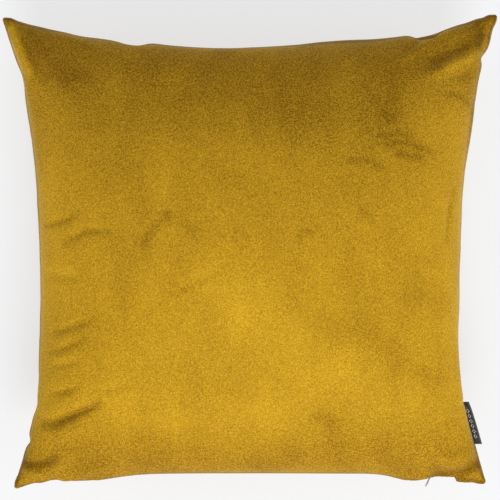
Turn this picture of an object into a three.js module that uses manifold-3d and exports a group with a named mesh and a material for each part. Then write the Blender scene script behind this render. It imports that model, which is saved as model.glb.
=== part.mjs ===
// A square throw pillow lying on its back panel: a velvet cover with a concealed zip in one seam,
// a sewn inner case inside it, and the fibre filling inside that.
// Millimetres. +Z is up from the floor, +X runs along the zip, +Y points away from the zip side.
// The origin is on the floor, under the middle of the pillow's outline.
import * as THREE from 'three';
import { mergeVertices } from 'three/addons/utils/BufferGeometryUtils.js';
import Module from 'manifold-3d';

// ---- Driving dimensions: the pillow ------------------------------------------------------------
const WIDTH = 442; // widest, corner tip to corner tip
const DEPTH = 423.4; // lowest corner tip to highest, in Y
const THICKNESS = 140; // floor to crown
const SEAM_HEIGHT = 64; // floor to the middle of the main seam
const TIP_SHORTFALL = {
  // how far each corner tip stays inside the overall width and depth
  topLeft: [0, 2.2],
  topRight: [0, 0],
  bottomLeft: [11, 0],
  bottomRight: [9.8, 4.7],
};
const SIDE_PULL = { left: 28, right: 27.5, top: 27 }; // how far each side's middle draws in
const ZIP_SIDE_PULL = 12.7; // lowest corner tip to the straight zip seam
const ZIP_BOW_POWER = 1.5; // how gently the zip seam curves out to the tips past its straight run
const BOW_POWER = 2.5; // how flat a drawn-in side is along its middle
const CROWN_POWER = 2.6; // how flat the crown is
const EDGE_POWER = 0.42; // how steeply the panels rise from the seam
const REST_SHARE = 0.9; // share of the back panel's crown past which it lies flat on the floor
const REST_STEP = 0.012; // how much more of it each millimetre further in needs
const INNER_SAG = 4; // how gently the layers inside the cover curve where they lie down

// ---- Driving dimensions: cloth, seams and inner pieces -----------------------------------------
const CLOTH = 1.2; // velvet with its pile
const CASE_CLOTH = 0.8; // cloth of the inner case
const TOUCH = 0.3; // gap left between pieces that touch
const LAYER_GAP = 0.8; // cover to case
const FILL_GAP = 2; // case to filling
const SEAM_HALF_GAP = 0.15; // half the gap between the two panels along the seam
const ALLOWANCE = 11; // turned-in seam allowance
const THREAD = 0.6; // thickness of the overlocked edge and of a stitched line
const OVERLOCK_WIDTH = 5; // how far the overlocking reaches over the allowance
const CASE_CLEARANCE = 3; // overlocked edge to the inner case
const CASE_ALLOWANCE = 8; // turned-in edge of the inner case
const FILL_CLEARANCE = 3; // that edge to the filling
const GAP_BLEND = 5; // run over which the seam closes beside the zip or the label
const CLOSING_LENGTH = 150; // stitched closing of the inner case
const CLOSING_HEIGHT = 3;

// ---- Driving dimensions: labels ----------------------------------------------------------------
const LABEL_LENGTH = 38; // along the seam
const LABEL_PROUD = 8; // outside the seam
const LABEL_TUCK = 8; // inside the seam
const LABEL_THICKNESS = 0.7; // two layers of woven ribbon
const LABEL_CORNER_DISTANCE = 53; // lower right tip to the label's middle, in Y
const CARE_WIDTH = 30;
const CARE_THICKNESS = 0.4;
const CARE_STEPS = [0.6, 3, 8]; // how far past the overlocking each bend of it lies

// ---- Driving dimensions: the zip ---------------------------------------------------------------
const ZIP_MARGIN = { left: 56, right: 33 }; // corner tip to the tape's end
const ZONE_MARGIN = 4; // straight, open seam past each end of the tape
const SLIT_HALF = 1.1; // half the slit between the two lips of the cover
const LIP_HEIGHT = 8; // doubled cloth of a lip
const TAPE_THICKNESS = 0.5;
const TAPE_WIDTH = 7;
const TAPE_STRAIGHT = 5.5; // part of the tape's width that stands straight up behind the lip
const TAPE_LEAN = 0.3; // how far the rest of it leans in
const TAPE_TAIL = 7; // tape past each stop
const COIL_DEPTH = 1.6;
const COIL_WIDTH = 1.6;
const STOP_LENGTH = 3;
const STOP_WIDTH = 1.9;
const CORNER_CUT = 0.3; // share of a coil's or stop's smaller side that its corners lose
const ZIP_THREAD_HEIGHT = 4; // slit's edge to the stitched line on the tape
const SLIDER_LENGTH = 9.5;
const SLIDER_WALL = 1;
const WALL_TRIM = SLIDER_WALL / 10; // the side walls stop short of the inner plate's edge
const NECK_HALF = 0.8;
const NECK_LENGTH = 3;
const PLATE_ROUND = 0.3; // corner radius as a share of a plate's width
const OUTER_PLATE = { length: 8, width: 5.2 };
const BRIDGE = { width: 2, wall: 0.8, foot: 3, crown: 1.9 }; // foot and crown are half lengths
const TAB_LENGTH = 11; // pivot to tip
const TAB_WIDTH = 3.8;
const TAB_THICKNESS = 1;
const TAB_WAIST = 0.8; // narrowest part past the eye, as a share of its width
const TAB_EYE_LENGTH = 2.9; // opening that the bridge passes through
const TAB_REST_ANGLE = -26; // degrees from straight out, towards -X

// ---- Worked-out sizes --------------------------------------------------------------------------
const BAND_START = ALLOWANCE + 2 * TOUCH; // where the closed side of the overlocking lies
const BAND_OUTER = BAND_START + THREAD;
const CASE_INSET = BAND_OUTER + CASE_CLEARANCE;
const CASE_LIFT = CLOTH + LAYER_GAP;
const FILL_LIFT = CASE_LIFT + CASE_CLOTH + FILL_GAP;
const ZIP_Y = -DEPTH / 2 + ZIP_SIDE_PULL; // outer face of the lips
const TIP = {
  topLeft: [-WIDTH / 2 + TIP_SHORTFALL.topLeft[0], DEPTH / 2 - TIP_SHORTFALL.topLeft[1]],
  topRight: [WIDTH / 2 - TIP_SHORTFALL.topRight[0], DEPTH / 2 - TIP_SHORTFALL.topRight[1]],
  bottomLeft: [-WIDTH / 2 + TIP_SHORTFALL.bottomLeft[0], -DEPTH / 2 + TIP_SHORTFALL.bottomLeft[1]],
  bottomRight: [WIDTH / 2 - TIP_SHORTFALL.bottomRight[0], -DEPTH / 2 + TIP_SHORTFALL.bottomRight[1]],
};
const TAPE_X = [TIP.bottomLeft[0] + ZIP_MARGIN.left, TIP.bottomRight[0] - ZIP_MARGIN.right];
const ZONE_X = [TAPE_X[0] - ZONE_MARGIN, TAPE_X[1] + ZONE_MARGIN];
const BOTTOM_STOP_X = [TAPE_X[0] + TAPE_TAIL, TAPE_X[0] + TAPE_TAIL + STOP_LENGTH];
const TOP_STOP_X = [TAPE_X[1] - TAPE_TAIL - STOP_LENGTH, TAPE_X[1] - TAPE_TAIL];
const COIL_X = [BOTTOM_STOP_X[1] + TOUCH, TOP_STOP_X[0] - TOUCH];
const SLIDER_X = TOP_STOP_X[0] - TOUCH - SLIDER_LENGTH / 2; // slider's middle with the zip closed
const LABEL_Y = TIP.bottomRight[1] + LABEL_CORNER_DISTANCE;
const LABEL_SPAN = [LABEL_Y - LABEL_LENGTH / 2, LABEL_Y + LABEL_LENGTH / 2];
const LABEL_OPENING = [LABEL_SPAN[0] - LABEL_TUCK, LABEL_SPAN[1]]; // seam let open for the label
// Depths behind the lips' outer face, from the outside in.
const TAPE_DEPTH = 2 * CLOTH + TOUCH;
const COIL_START = TAPE_DEPTH + TAPE_THICKNESS + TOUCH;
const COIL_END = COIL_START + COIL_DEPTH;
const INNER_PLATE = COIL_END + TOUCH;
const FLANGE_HALF = SLIT_HALF + COIL_WIDTH + TOUCH; // slit's middle to the slider's side walls
// Depths in front of the lips' outer face.
const PLATE_FACE = TOUCH + SLIDER_WALL;
const BAR_SWEEP = TAB_THICKNESS * Math.SQRT1_2 + TOUCH; // room the tab's end bar turns in
const PIVOT_OUT = PLATE_FACE + BAR_SWEEP;
const BRIDGE_INSIDE = PIVOT_OUT + BAR_SWEEP;

// ---- Materials ---------------------------------------------------------------------------------
const material = (color, roughness, metalness = 0) =>
  new THREE.MeshStandardMaterial({ color, roughness, metalness });
const VELVET = material('#b8811f', 0.9);
const WOVEN_BLACK = material('#1b1b1d', 0.85);
const SEWING_THREAD = material('#a8781f', 0.8);
const TAPE = material('#a97c2a', 0.9);
const NYLON = material('#b08a3c', 0.5);
const GREY_METAL = material('#8a8a8c', 0.4, 0.8);
const COTTON = material('#efece4', 0.9);
const FIBRE = material('#f6f5f1', 1);

// ---- Plan of the panels: four drawn-in edges and the net between them ---------------------------
const lerp = (a, b, t) => a + (b - a) * t;
const clamp01 = (value) => Math.min(Math.max(value, 0), 1);
const share = (u) => (u + 1) / 2;
const bow = (u) => 1 - Math.abs(u) ** BOW_POWER;

function tip(name, inset) {
  const [x, y] = TIP[name];
  return [x - Math.sign(x) * inset, y - Math.sign(y) * inset];
}

function between(a, b, t) {
  return [lerp(a[0], b[0], t), lerp(a[1], b[1], t)];
}

function sideEdge(low, high, pull, inset, v) {
  const [x, y] = between(tip(low, inset), tip(high, inset), share(v));
  return [x - Math.sign(x) * pull * bow(v), y];
}

function topEdge(inset, u) {
  const [x, y] = between(tip('topLeft', inset), tip('topRight', inset), share(u));
  return [x, y - SIDE_PULL.top * bow(u)];
}

// The zip edge runs straight between the zone's ends and curves out to the tips beyond them.
function zipEdge(inset, u) {
  const left = tip('bottomLeft', inset);
  const right = tip('bottomRight', inset);
  const [x, y] = between(left, right, share(u));
  const fromLeft = (x - left[0]) / (ZONE_X[0] - TIP.bottomLeft[0]);
  const fromRight = (right[0] - x) / (TIP.bottomRight[0] - ZONE_X[1]);
  const drawn = 1 - (1 - clamp01(Math.min(fromLeft, fromRight))) ** ZIP_BOW_POWER;
  return [x, lerp(y, ZIP_Y + inset, drawn)];
}

// A point of the plan, u and v from -1 to 1, with every edge moved in by inset.
function plan(u, v, inset) {
  const a = share(u);
  const b = share(v);
  const low = zipEdge(inset, u);
  const high = topEdge(inset, u);
  const left = sideEdge('bottomLeft', 'topLeft', SIDE_PULL.left, inset, v);
  const right = sideEdge('bottomRight', 'topRight', SIDE_PULL.right, inset, v);
  const cornersLow = between(tip('bottomLeft', inset), tip('bottomRight', inset), a);
  const cornersHigh = between(tip('topLeft', inset), tip('topRight', inset), a);
  return [0, 1].map(
    (k) => lerp(low[k], high[k], b) + lerp(left[k], right[k], a) - lerp(cornersLow[k], cornersHigh[k], b),
  );
}

const rise = (u) => Math.max(0, 1 - Math.abs(u) ** CROWN_POWER) ** EDGE_POWER;
const crown = (u, v) => rise(u) * rise(v);

// Where an edge position in millimetres falls on the u or v scale.
const uAt = (x) => (2 * (x - TIP.bottomLeft[0])) / (TIP.bottomRight[0] - TIP.bottomLeft[0]) - 1;
const vAt = (y) => (2 * (y - TIP.bottomRight[1])) / (TIP.topRight[1] - TIP.bottomRight[1]) - 1;

// 1 between low and high, falling to 0 over GAP_BLEND outside them.
function within(value, [low, high]) {
  const outside = Math.max(low - value, value - high, 0);
  return clamp01(1 - outside / GAP_BLEND);
}

const zipShare = (u, v) => (v > -1 ? 0 : within(zipEdge(0, u)[0], ZONE_X));
const rightY = (v) => lerp(TIP.bottomRight[1], TIP.topRight[1], share(v));
const labelShare = (u, v) => (u < 1 ? 0 : within(rightY(v), LABEL_OPENING));

// Half the gap between the panels at a point of the seam.
function halfGap(u, v) {
  const forLabel = lerp(SEAM_HALF_GAP, LABEL_THICKNESS / 2 + TOUCH, labelShare(u, v));
  return lerp(forLabel, SLIT_HALF, zipShare(u, v));
}

// ---- Mesh helpers ------------------------------------------------------------------------------
const NET = [0, 0.2, 0.38, 0.54, 0.7, 0.85, 0.94, 0.985, 1];
const NEAREST_LINES = 0.012;

// Net lines, the same both sides of the middle, with the extra lines that a detail needs.
function netLines(extra = []) {
  const regular = [...NET.slice(1).map((u) => -u), ...NET];
  const spaced = regular.filter(
    (u) => Math.abs(u) === 1 || extra.every((other) => Math.abs(other - u) > NEAREST_LINES),
  );
  return [...spaced, ...extra].sort((a, b) => a - b);
}

class Shell {
  constructor() {
    this.points = [];
    this.faces = [];
  }

  point(position) {
    this.points.push(position);
    return this.points.length - 1;
  }

  quad(a, b, c, d) {
    this.faces.push([a, b, c], [a, c, d]);
  }

  // A net over the plan, each cell split along the diagonal that points at the nearest tip. It
  // returns its edge as a loop, in the order of edgeLoop.
  net(us, vs, place, facingUp) {
    const rows = vs.map((v) => us.map((u) => this.point(place(u, v))));
    for (let j = 0; j + 1 < vs.length; j += 1) {
      for (let i = 0; i + 1 < us.length; i += 1) {
        const [a, b, c, d] = [rows[j][i], rows[j][i + 1], rows[j + 1][i + 1], rows[j + 1][i]];
        const rising = us[i] + us[i + 1] > 0 === vs[j] + vs[j + 1] > 0;
        const cell = rising ? [a, b, c, d] : [b, c, d, a];
        const [first, ...others] = cell;
        this.quad(...(facingUp ? cell : [first, ...others.reverse()]));
      }
    }
    return edgeLoop(us.length, vs.length).map(([i, j]) => rows[j][i]);
  }

  loop(positions) {
    return positions.map((position) => this.point(position));
  }

  strip(a, b) {
    a.forEach((first, k) => {
      const next = (k + 1) % a.length;
      this.quad(first, b[k], b[next], a[next]);
    });
  }

  geometry() {
    const { points, faces } = this;
    const volume = faces.reduce((sum, [a, b, c]) => sum + tripleProduct(points[a], points[b], points[c]), 0);
    const outward = volume < 0 ? faces.map(([a, b, c]) => [a, c, b]) : faces;
    const geometry = new THREE.BufferGeometry();
    geometry.setAttribute('position', new THREE.Float32BufferAttribute(points.flat(), 3));
    geometry.setIndex(outward.flat());
    geometry.computeVertexNormals();
    return geometry;
  }
}

function tripleProduct(a, b, c) {
  return new THREE.Vector3(...b).cross(new THREE.Vector3(...c)).dot(new THREE.Vector3(...a));
}

// Index pairs round the edge of a net, anticlockwise from its lower left corner.
function edgeLoop(across, up) {
  const loop = [];
  for (let i = 0; i < across - 1; i += 1) loop.push([i, 0]);
  for (let j = 0; j < up - 1; j += 1) loop.push([across - 1, j]);
  for (let i = across - 1; i > 0; i -= 1) loop.push([i, up - 1]);
  for (let j = up - 1; j > 0; j -= 1) loop.push([0, j]);
  return loop;
}

// A solid through matching sections, closed at both ends. outline is the section's flat shape.
function loft(sections, outline) {
  const shell = new Shell();
  const rings = sections.map((section) => shell.loop(section));
  rings.slice(1).forEach((ring, k) => shell.strip(rings[k], ring));
  const flat = outline.map(([x, y]) => new THREE.Vector2(x, y));
  const last = rings[rings.length - 1];
  THREE.ShapeUtils.triangulateShape(flat, []).forEach((corners) => {
    const sameTurn = THREE.ShapeUtils.area(corners.map((k) => flat[k])) * THREE.ShapeUtils.area(flat) > 0;
    const [a, b, c] = sameTurn ? corners : [...corners].reverse();
    shell.faces.push([rings[0][a], rings[0][b], rings[0][c]], [last[c], last[b], last[a]]);
  });
  return shell.geometry();
}

// ---- Cover panels ------------------------------------------------------------------------------
const bothEnds = ([low, high]) => [low - GAP_BLEND, low, high, high + GAP_BLEND];
const EDGE_U = bothEnds(ZONE_X).map(uAt);
const EDGE_V = bothEnds(LABEL_OPENING).map(vAt);
const COVER_US = netLines(EDGE_U);
const COVER_VS = netLines(EDGE_V);
const SEAM_POINTS = edgeLoop(COVER_US.length, COVER_VS.length).map(([i, j]) => [COVER_US[i], COVER_VS[j]]);
const onEdge = (u, v) => Math.abs(u) === 1 || Math.abs(v) === 1;

// Height from the seam of a panel or layer: lift is how far it lies inside the cover's outer face.
function frontHeight(u, v, lift, base) {
  return base + (THICKNESS - SEAM_HEIGHT - lift - base) * crown(u, v);
}

function backHeight(u, v, lift, base) {
  const full = SEAM_HEIGHT - lift;
  const restShare = REST_SHARE + REST_STEP * lift;
  const free = base + (full / restShare - base) * crown(u, v);
  const sag = Math.min(lift, 1) * INNER_SAG * (1 - crown(u, v));
  return Math.min(free, full - sag);
}

// The way out of a surface at a point of the net, from the points on each side of it.
function outward(place, us, vs, i, j, side) {
  const across = new THREE.Vector3().subVectors(place(us[i + 1], vs[j]), place(us[i - 1], vs[j]));
  const up = new THREE.Vector3().subVectors(place(us[i], vs[j + 1]), place(us[i], vs[j - 1]));
  return across.cross(up).multiplyScalar(side).normalize();
}

// A dished panel with its edge turned in. side is 1 for the front and -1 for the back. turn gives,
// for a point of the seam: gap, half the gap to the other panel; width and height, the turned edge's
// size; and lip, 1 where that edge is folded back against the panel.
function dishedPanel({ side, us, vs, inset, lift, cloth, turn }) {
  const height = side > 0 ? frontHeight : backHeight;
  const shell = new Shell();
  const at = (u, v, extra, h) => [...plan(u, v, inset + extra), SEAM_HEIGHT + side * h];
  const outer = (u, v) => at(u, v, 0, onEdge(u, v) ? turn(u, v).gap : height(u, v, lift, SEAM_HALF_GAP));
  const face = (u, v) => new THREE.Vector3(...outer(u, v));
  const inner = (u, v) => {
    if (!onEdge(u, v)) {
      const out = outward(face, us, vs, us.indexOf(u), vs.indexOf(v), side);
      return face(u, v).addScaledVector(out, -cloth).toArray();
    }
    const { gap, height: turnHeight, lip } = turn(u, v);
    return at(u, v, lerp(cloth, 2 * cloth, lip), gap + turnHeight + lip * cloth);
  };
  const edge = edgeLoop(us.length, vs.length).map(([i, j]) => [us[i], vs[j], turn(us[i], vs[j])]);
  const outerLoop = shell.net(us, vs, outer, true);
  const lower = shell.loop(edge.map(([u, v, { gap, width }]) => at(u, v, width, gap)));
  const upper = shell.loop(edge.map(([u, v, { gap, width, height: h }]) => at(u, v, width, gap + h)));
  const innerLoop = shell.net(us, vs, inner, false);
  shell.strip(outerLoop, lower);
  shell.strip(lower, upper);
  shell.strip(upper, innerLoop);
  return shell.geometry();
}

function coverPanel(side) {
  const turn = (u, v) => ({
    gap: halfGap(u, v),
    width: lerp(ALLOWANCE, 2 * CLOTH, zipShare(u, v)),
    height: lerp(CLOTH, LIP_HEIGHT, zipShare(u, v)),
    lip: zipShare(u, v),
  });
  return dishedPanel({ side, us: COVER_US, vs: COVER_VS, inset: 0, lift: 0, cloth: CLOTH, turn });
}

// ---- Inner case, its closing and the filling ---------------------------------------------------
const CASE_LINES = netLines();

function layerPoint(side, inset, lift, u, v) {
  const height = side > 0 ? frontHeight : backHeight;
  return [...plan(u, v, inset), SEAM_HEIGHT + side * height(u, v, lift, SEAM_HALF_GAP)];
}

function casePanel(side) {
  const turn = () => ({ gap: SEAM_HALF_GAP, width: CASE_ALLOWANCE, height: CASE_CLOTH, lip: 0 });
  const layer = { inset: CASE_INSET, lift: CASE_LIFT, cloth: CASE_CLOTH };
  return dishedPanel({ side, us: COVER_US, vs: COVER_VS, turn, ...layer });
}

function filling() {
  const shell = new Shell();
  const inset = CASE_INSET + CASE_ALLOWANCE + FILL_CLEARANCE;
  const top = shell.net(CASE_LINES, CASE_LINES, (u, v) => layerPoint(1, inset, FILL_LIFT, u, v), true);
  const bottom = shell.net(CASE_LINES, CASE_LINES, (u, v) => layerPoint(-1, inset, FILL_LIFT, u, v), false);
  shell.strip(top, bottom);
  return shell.geometry();
}

function barAlongX([start, end], outline) {
  const section = (x) => outline.map(([depth, h]) => [x, ZIP_Y + depth, SEAM_HEIGHT + h]);
  return loft([section(start), section(end)], outline);
}

const rectangle = (low, high, bottom, top) => [
  [low, bottom],
  [high, bottom],
  [high, top],
  [low, top],
];

function closingStitch() {
  const end = CASE_INSET - TOUCH;
  const middle = (TIP.bottomLeft[0] + TIP.bottomRight[0]) / 2;
  const outline = rectangle(end - THREAD, end, -CLOSING_HEIGHT / 2, CLOSING_HEIGHT / 2);
  return barAlongX([middle - CLOSING_LENGTH / 2, middle + CLOSING_LENGTH / 2], outline);
}

// ---- Overlocked edge ---------------------------------------------------------------------------
function overlockedEdge() {
  const firstZip = SEAM_POINTS.findIndex(([u, v]) => zipShare(u, v) > 0);
  const ordered = [...SEAM_POINTS.slice(firstZip), ...SEAM_POINTS.slice(0, firstZip)];
  const path = ordered.filter(([u, v]) => zipShare(u, v) < NEAREST_LINES);
  const profile = (face) => [
    [ALLOWANCE - OVERLOCK_WIDTH, face + THREAD],
    [BAND_OUTER, face + THREAD],
    [BAND_OUTER, -face - THREAD],
    [ALLOWANCE - OVERLOCK_WIDTH, -face - THREAD],
    [ALLOWANCE - OVERLOCK_WIDTH, -face],
    [BAND_START, -face],
    [BAND_START, face],
    [ALLOWANCE - OVERLOCK_WIDTH, face],
  ];
  const sections = path.map(([u, v]) =>
    profile(halfGap(u, v) + CLOTH + TOUCH).map(([inset, h]) => [...plan(u, v, inset), SEAM_HEIGHT + h]),
  );
  return loft(sections, profile(CLOTH));
}

// ---- Labels ------------------------------------------------------------------------------------
function sideLabel() {
  const steps = 4;
  const half = LABEL_THICKNESS / 2;
  const outline = rectangle(-LABEL_PROUD, LABEL_TUCK, -half, half);
  const sections = Array.from({ length: steps + 1 }, (_, k) => {
    const [x, y] = plan(1, vAt(lerp(LABEL_SPAN[0], LABEL_SPAN[1], k / steps)), 0);
    return outline.map(([inset, h]) => [x - inset, y, SEAM_HEIGHT + h]);
  });
  return loft(sections, outline);
}

// Height from the seam, at the pillow's middle, of a layer's outer face at a distance from the seam.
function heightAt(distance, inset, lift) {
  const span = plan(1, 0, inset)[0] - plan(-1, 0, inset)[0];
  const u = Math.min((2 * Math.max(distance - inset, 0)) / span - 1, 0);
  return frontHeight(u, 0, lift, SEAM_HALF_GAP);
}

// The care label lies on the left seam's allowance, then climbs midway between cover and case.
function careLabel() {
  const low = SEAM_HALF_GAP + CLOTH + 2 * TOUCH + THREAD;
  const midway = (distance) =>
    (heightAt(distance, CLOTH, CLOTH) + heightAt(distance, CASE_INSET, CASE_LIFT)) / 2;
  const route = [
    [ALLOWANCE - OVERLOCK_WIDTH, low],
    [BAND_OUTER + TOUCH, low],
    ...CARE_STEPS.map((step) => [BAND_OUTER + step, midway(BAND_OUTER + step)]),
  ];
  const otherFace = route.map(([inset, h]) => [inset - CARE_THICKNESS, h + CARE_THICKNESS]).reverse();
  const outline = [...route, ...otherFace];
  const section = (v) => outline.map(([inset, h]) => [...plan(-1, v, inset), SEAM_HEIGHT + h]);
  const halfSpan = CARE_WIDTH / (TIP.topLeft[1] - TIP.bottomLeft[1]);
  return loft([section(-halfSpan), section(halfSpan)], outline);
}

// ---- Zip: tapes, coils, stops and stitching ----------------------------------------------------
const flip = (outline, side) => outline.map(([depth, h]) => [depth, side * h]);

function zipTape(side) {
  const face = TAPE_DEPTH;
  const back = face + TAPE_THICKNESS;
  const outline = [
    [face, SLIT_HALF],
    [back, SLIT_HALF],
    [back, SLIT_HALF + TAPE_STRAIGHT],
    [back + TAPE_LEAN, SLIT_HALF + TAPE_WIDTH],
    [face + TAPE_LEAN, SLIT_HALF + TAPE_WIDTH],
    [face, SLIT_HALF + TAPE_STRAIGHT],
  ];
  return barAlongX(TAPE_X, flip(outline, side));
}

// A rounded bar section with its long sides cut back at the corners.
function roundedSection(low, high, bottom, top) {
  const cut = CORNER_CUT * Math.min(high - low, top - bottom);
  return [
    [low + cut, bottom],
    [high - cut, bottom],
    [high, bottom + cut],
    [high, top - cut],
    [high - cut, top],
    [low + cut, top],
    [low, top - cut],
    [low, bottom + cut],
  ];
}

function zipCoil(side) {
  const outline = roundedSection(COIL_START, COIL_END, SLIT_HALF, SLIT_HALF + COIL_WIDTH);
  return barAlongX(COIL_X, flip(outline, side));
}

function zipTopStop(side) {
  const outline = roundedSection(COIL_START, COIL_END, SLIT_HALF, SLIT_HALF + STOP_WIDTH);
  return barAlongX(TOP_STOP_X, flip(outline, side));
}

function zipBottomStop() {
  const reach = SLIT_HALF + STOP_WIDTH;
  return barAlongX(BOTTOM_STOP_X, roundedSection(COIL_START, COIL_END, -reach, reach));
}

function zipThread(side) {
  const start = TAPE_DEPTH + TAPE_THICKNESS + TOUCH;
  const low = SLIT_HALF + ZIP_THREAD_HEIGHT;
  return barAlongX(TAPE_X, flip(rectangle(start, start + THREAD, low, low + THREAD), side));
}

// ---- Zip: slider and pull tab ------------------------------------------------------------------
const wasm = await Module();
wasm.setup();

function toSolid(geometry) {
  const bare = geometry.index ? geometry.toNonIndexed() : geometry.clone();
  bare.deleteAttribute('normal');
  bare.deleteAttribute('uv');
  const merged = mergeVertices(bare);
  const vertProperties = new Float32Array(merged.attributes.position.array);
  const triVerts = new Uint32Array(merged.index.array);
  return new wasm.Manifold(new wasm.Mesh({ numProp: 3, vertProperties, triVerts }));
}

function fromSolid(solid) {
  const mesh = solid.getMesh();
  const geometry = new THREE.BufferGeometry();
  geometry.setAttribute('position', new THREE.BufferAttribute(mesh.vertProperties, 3));
  geometry.setIndex(new THREE.BufferAttribute(mesh.triVerts, 1));
  geometry.computeVertexNormals();
  return geometry;
}

// A box given by its low and high x, depth behind the lips and height from the seam.
function block([x0, x1], [depth0, depth1], [h0, h1]) {
  const box = new THREE.BoxGeometry(x1 - x0, depth1 - depth0, h1 - h0);
  box.translate((x0 + x1) / 2, ZIP_Y + (depth0 + depth1) / 2, SEAM_HEIGHT + (h0 + h1) / 2);
  return toSolid(box);
}

function extruded(shape, depth) {
  return new THREE.ExtrudeGeometry(shape, { depth, bevelEnabled: false, curveSegments: 4 });
}

// A plate facing the lips, with rounded corners.
function plate(length, width, depth0, depth1) {
  const radius = PLATE_ROUND * width;
  const shape = new THREE.Shape();
  const x = length / 2;
  const h = width / 2;
  shape.moveTo(-x + radius, -h);
  shape.lineTo(x - radius, -h);
  shape.absarc(x - radius, -h + radius, radius, -Math.PI / 2, 0);
  shape.lineTo(x, h - radius);
  shape.absarc(x - radius, h - radius, radius, 0, Math.PI / 2);
  shape.lineTo(-x + radius, h);
  shape.absarc(-x + radius, h - radius, radius, Math.PI / 2, Math.PI);
  shape.lineTo(-x, -h + radius);
  shape.absarc(-x + radius, -h + radius, radius, Math.PI, 1.5 * Math.PI);
  const geometry = extruded(shape, depth1 - depth0);
  geometry.rotateX(Math.PI / 2);
  geometry.translate(SLIDER_X, ZIP_Y + depth1, SEAM_HEIGHT);
  return toSolid(geometry);
}

// The bridge is a flat arch on the outer plate; the tab's end bar turns under it.
function bridge() {
  const shape = new THREE.Shape();
  const top = BRIDGE_INSIDE + BRIDGE.wall;
  shape.moveTo(-BRIDGE.foot, PLATE_FACE - SLIDER_WALL / 2);
  shape.lineTo(BRIDGE.foot, PLATE_FACE - SLIDER_WALL / 2);
  shape.lineTo(BRIDGE.foot, PLATE_FACE);
  shape.lineTo(BRIDGE.crown, top);
  shape.lineTo(-BRIDGE.crown, top);
  shape.lineTo(-BRIDGE.foot, PLATE_FACE);
  const opening = new THREE.Path();
  const sunk = PLATE_FACE - SLIDER_WALL / 4; // the opening starts inside the plate, which fills it
  opening.moveTo(-BRIDGE.foot + BRIDGE.wall, sunk);
  opening.lineTo(BRIDGE.foot - BRIDGE.wall, sunk);
  opening.lineTo(BRIDGE.crown - BRIDGE.wall / 2, BRIDGE_INSIDE);
  opening.lineTo(-BRIDGE.crown + BRIDGE.wall / 2, BRIDGE_INSIDE);
  shape.holes.push(opening);
  const geometry = extruded(shape, BRIDGE.width);
  geometry.translate(0, 0, -BRIDGE.width / 2);
  geometry.rotateX(Math.PI);
  geometry.translate(SLIDER_X, ZIP_Y, SEAM_HEIGHT);
  return toSolid(geometry);
}

function sliderBody() {
  const half = SLIDER_LENGTH / 2;
  const span = [SLIDER_X - half, SLIDER_X + half];
  const wallTop = FLANGE_HALF + SLIDER_WALL;
  const inner = plate(SLIDER_LENGTH, 2 * wallTop, INNER_PLATE, INNER_PLATE + SLIDER_WALL);
  const wallSpan = [span[0] + SLIDER_WALL, span[1] - SLIDER_WALL];
  const wallDepth = [COIL_START, INNER_PLATE + SLIDER_WALL / 2];
  const upperWall = block(wallSpan, wallDepth, [FLANGE_HALF, wallTop - WALL_TRIM]);
  const lowerWall = block(wallSpan, wallDepth, [-wallTop + WALL_TRIM, -FLANGE_HALF]);
  const neckSpan = [SLIDER_X - NECK_LENGTH / 2, SLIDER_X + NECK_LENGTH / 2];
  const neckDepth = [-TOUCH - SLIDER_WALL / 2, INNER_PLATE + SLIDER_WALL / 2];
  const neck = block(neckSpan, neckDepth, [-NECK_HALF, NECK_HALF]);
  const outer = plate(OUTER_PLATE.length, OUTER_PLATE.width, -PLATE_FACE, -TOUCH);
  return fromSolid(inner.add(upperWall).add(lowerWall).add(neck).add(outer).add(bridge()));
}

// Flat tab drawn along its length, pivot at zero, then stood on edge and turned to its rest angle.
function pullTab() {
  const bar = TAB_THICKNESS / 2;
  const h = TAB_WIDTH / 2;
  const waist = TAB_WAIST * h;
  const eyeEnd = bar + TAB_EYE_LENGTH;
  const shape = new THREE.Shape();
  shape.moveTo(-bar, -h);
  shape.lineTo(eyeEnd, -h);
  shape.lineTo(eyeEnd + bar, -waist);
  shape.lineTo(TAB_LENGTH - h, -h);
  shape.absarc(TAB_LENGTH - h, 0, h, -Math.PI / 2, Math.PI / 2);
  shape.lineTo(eyeEnd + bar, waist);
  shape.lineTo(eyeEnd, h);
  shape.lineTo(-bar, h);
  const eye = new THREE.Path();
  const eyeHalf = BRIDGE.width / 2 + TOUCH;
  eye.moveTo(bar, -eyeHalf);
  eye.lineTo(bar, eyeHalf);
  eye.lineTo(eyeEnd, eyeHalf);
  eye.lineTo(eyeEnd, -eyeHalf);
  shape.holes.push(eye);
  const geometry = extruded(shape, TAB_THICKNESS);
  geometry.translate(0, 0, -TAB_THICKNESS / 2);
  geometry.rotateX(Math.PI / 2);
  geometry.rotateZ(-Math.PI / 2 + THREE.MathUtils.degToRad(TAB_REST_ANGLE));
  return geometry;
}

// ---- Assembly ----------------------------------------------------------------------------------
const pillow = new THREE.Group();
pillow.name = 'throw_pillow';

function piece(name, geometry, look, parent = pillow) {
  const mesh = new THREE.Mesh(geometry, look);
  mesh.name = name;
  parent.add(mesh);
  return mesh;
}

piece('cover_front_panel', coverPanel(1), VELVET);
piece('cover_back_panel', coverPanel(-1), VELVET);
piece('overlock_thread', overlockedEdge(), SEWING_THREAD);
piece('side_label', sideLabel(), WOVEN_BLACK);
piece('care_label', careLabel(), COTTON);

for (const [name, side] of [['front', 1], ['back', -1]]) {
  piece(`zip_tape_${name}`, zipTape(side), TAPE);
  piece(`zip_coil_${name}`, zipCoil(side), NYLON);
  piece(`zip_top_stop_${name}`, zipTopStop(side), NYLON);
  piece(`zip_thread_${name}`, zipThread(side), SEWING_THREAD);
  piece(`insert_case_${name}`, casePanel(side), COTTON);
}

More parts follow.
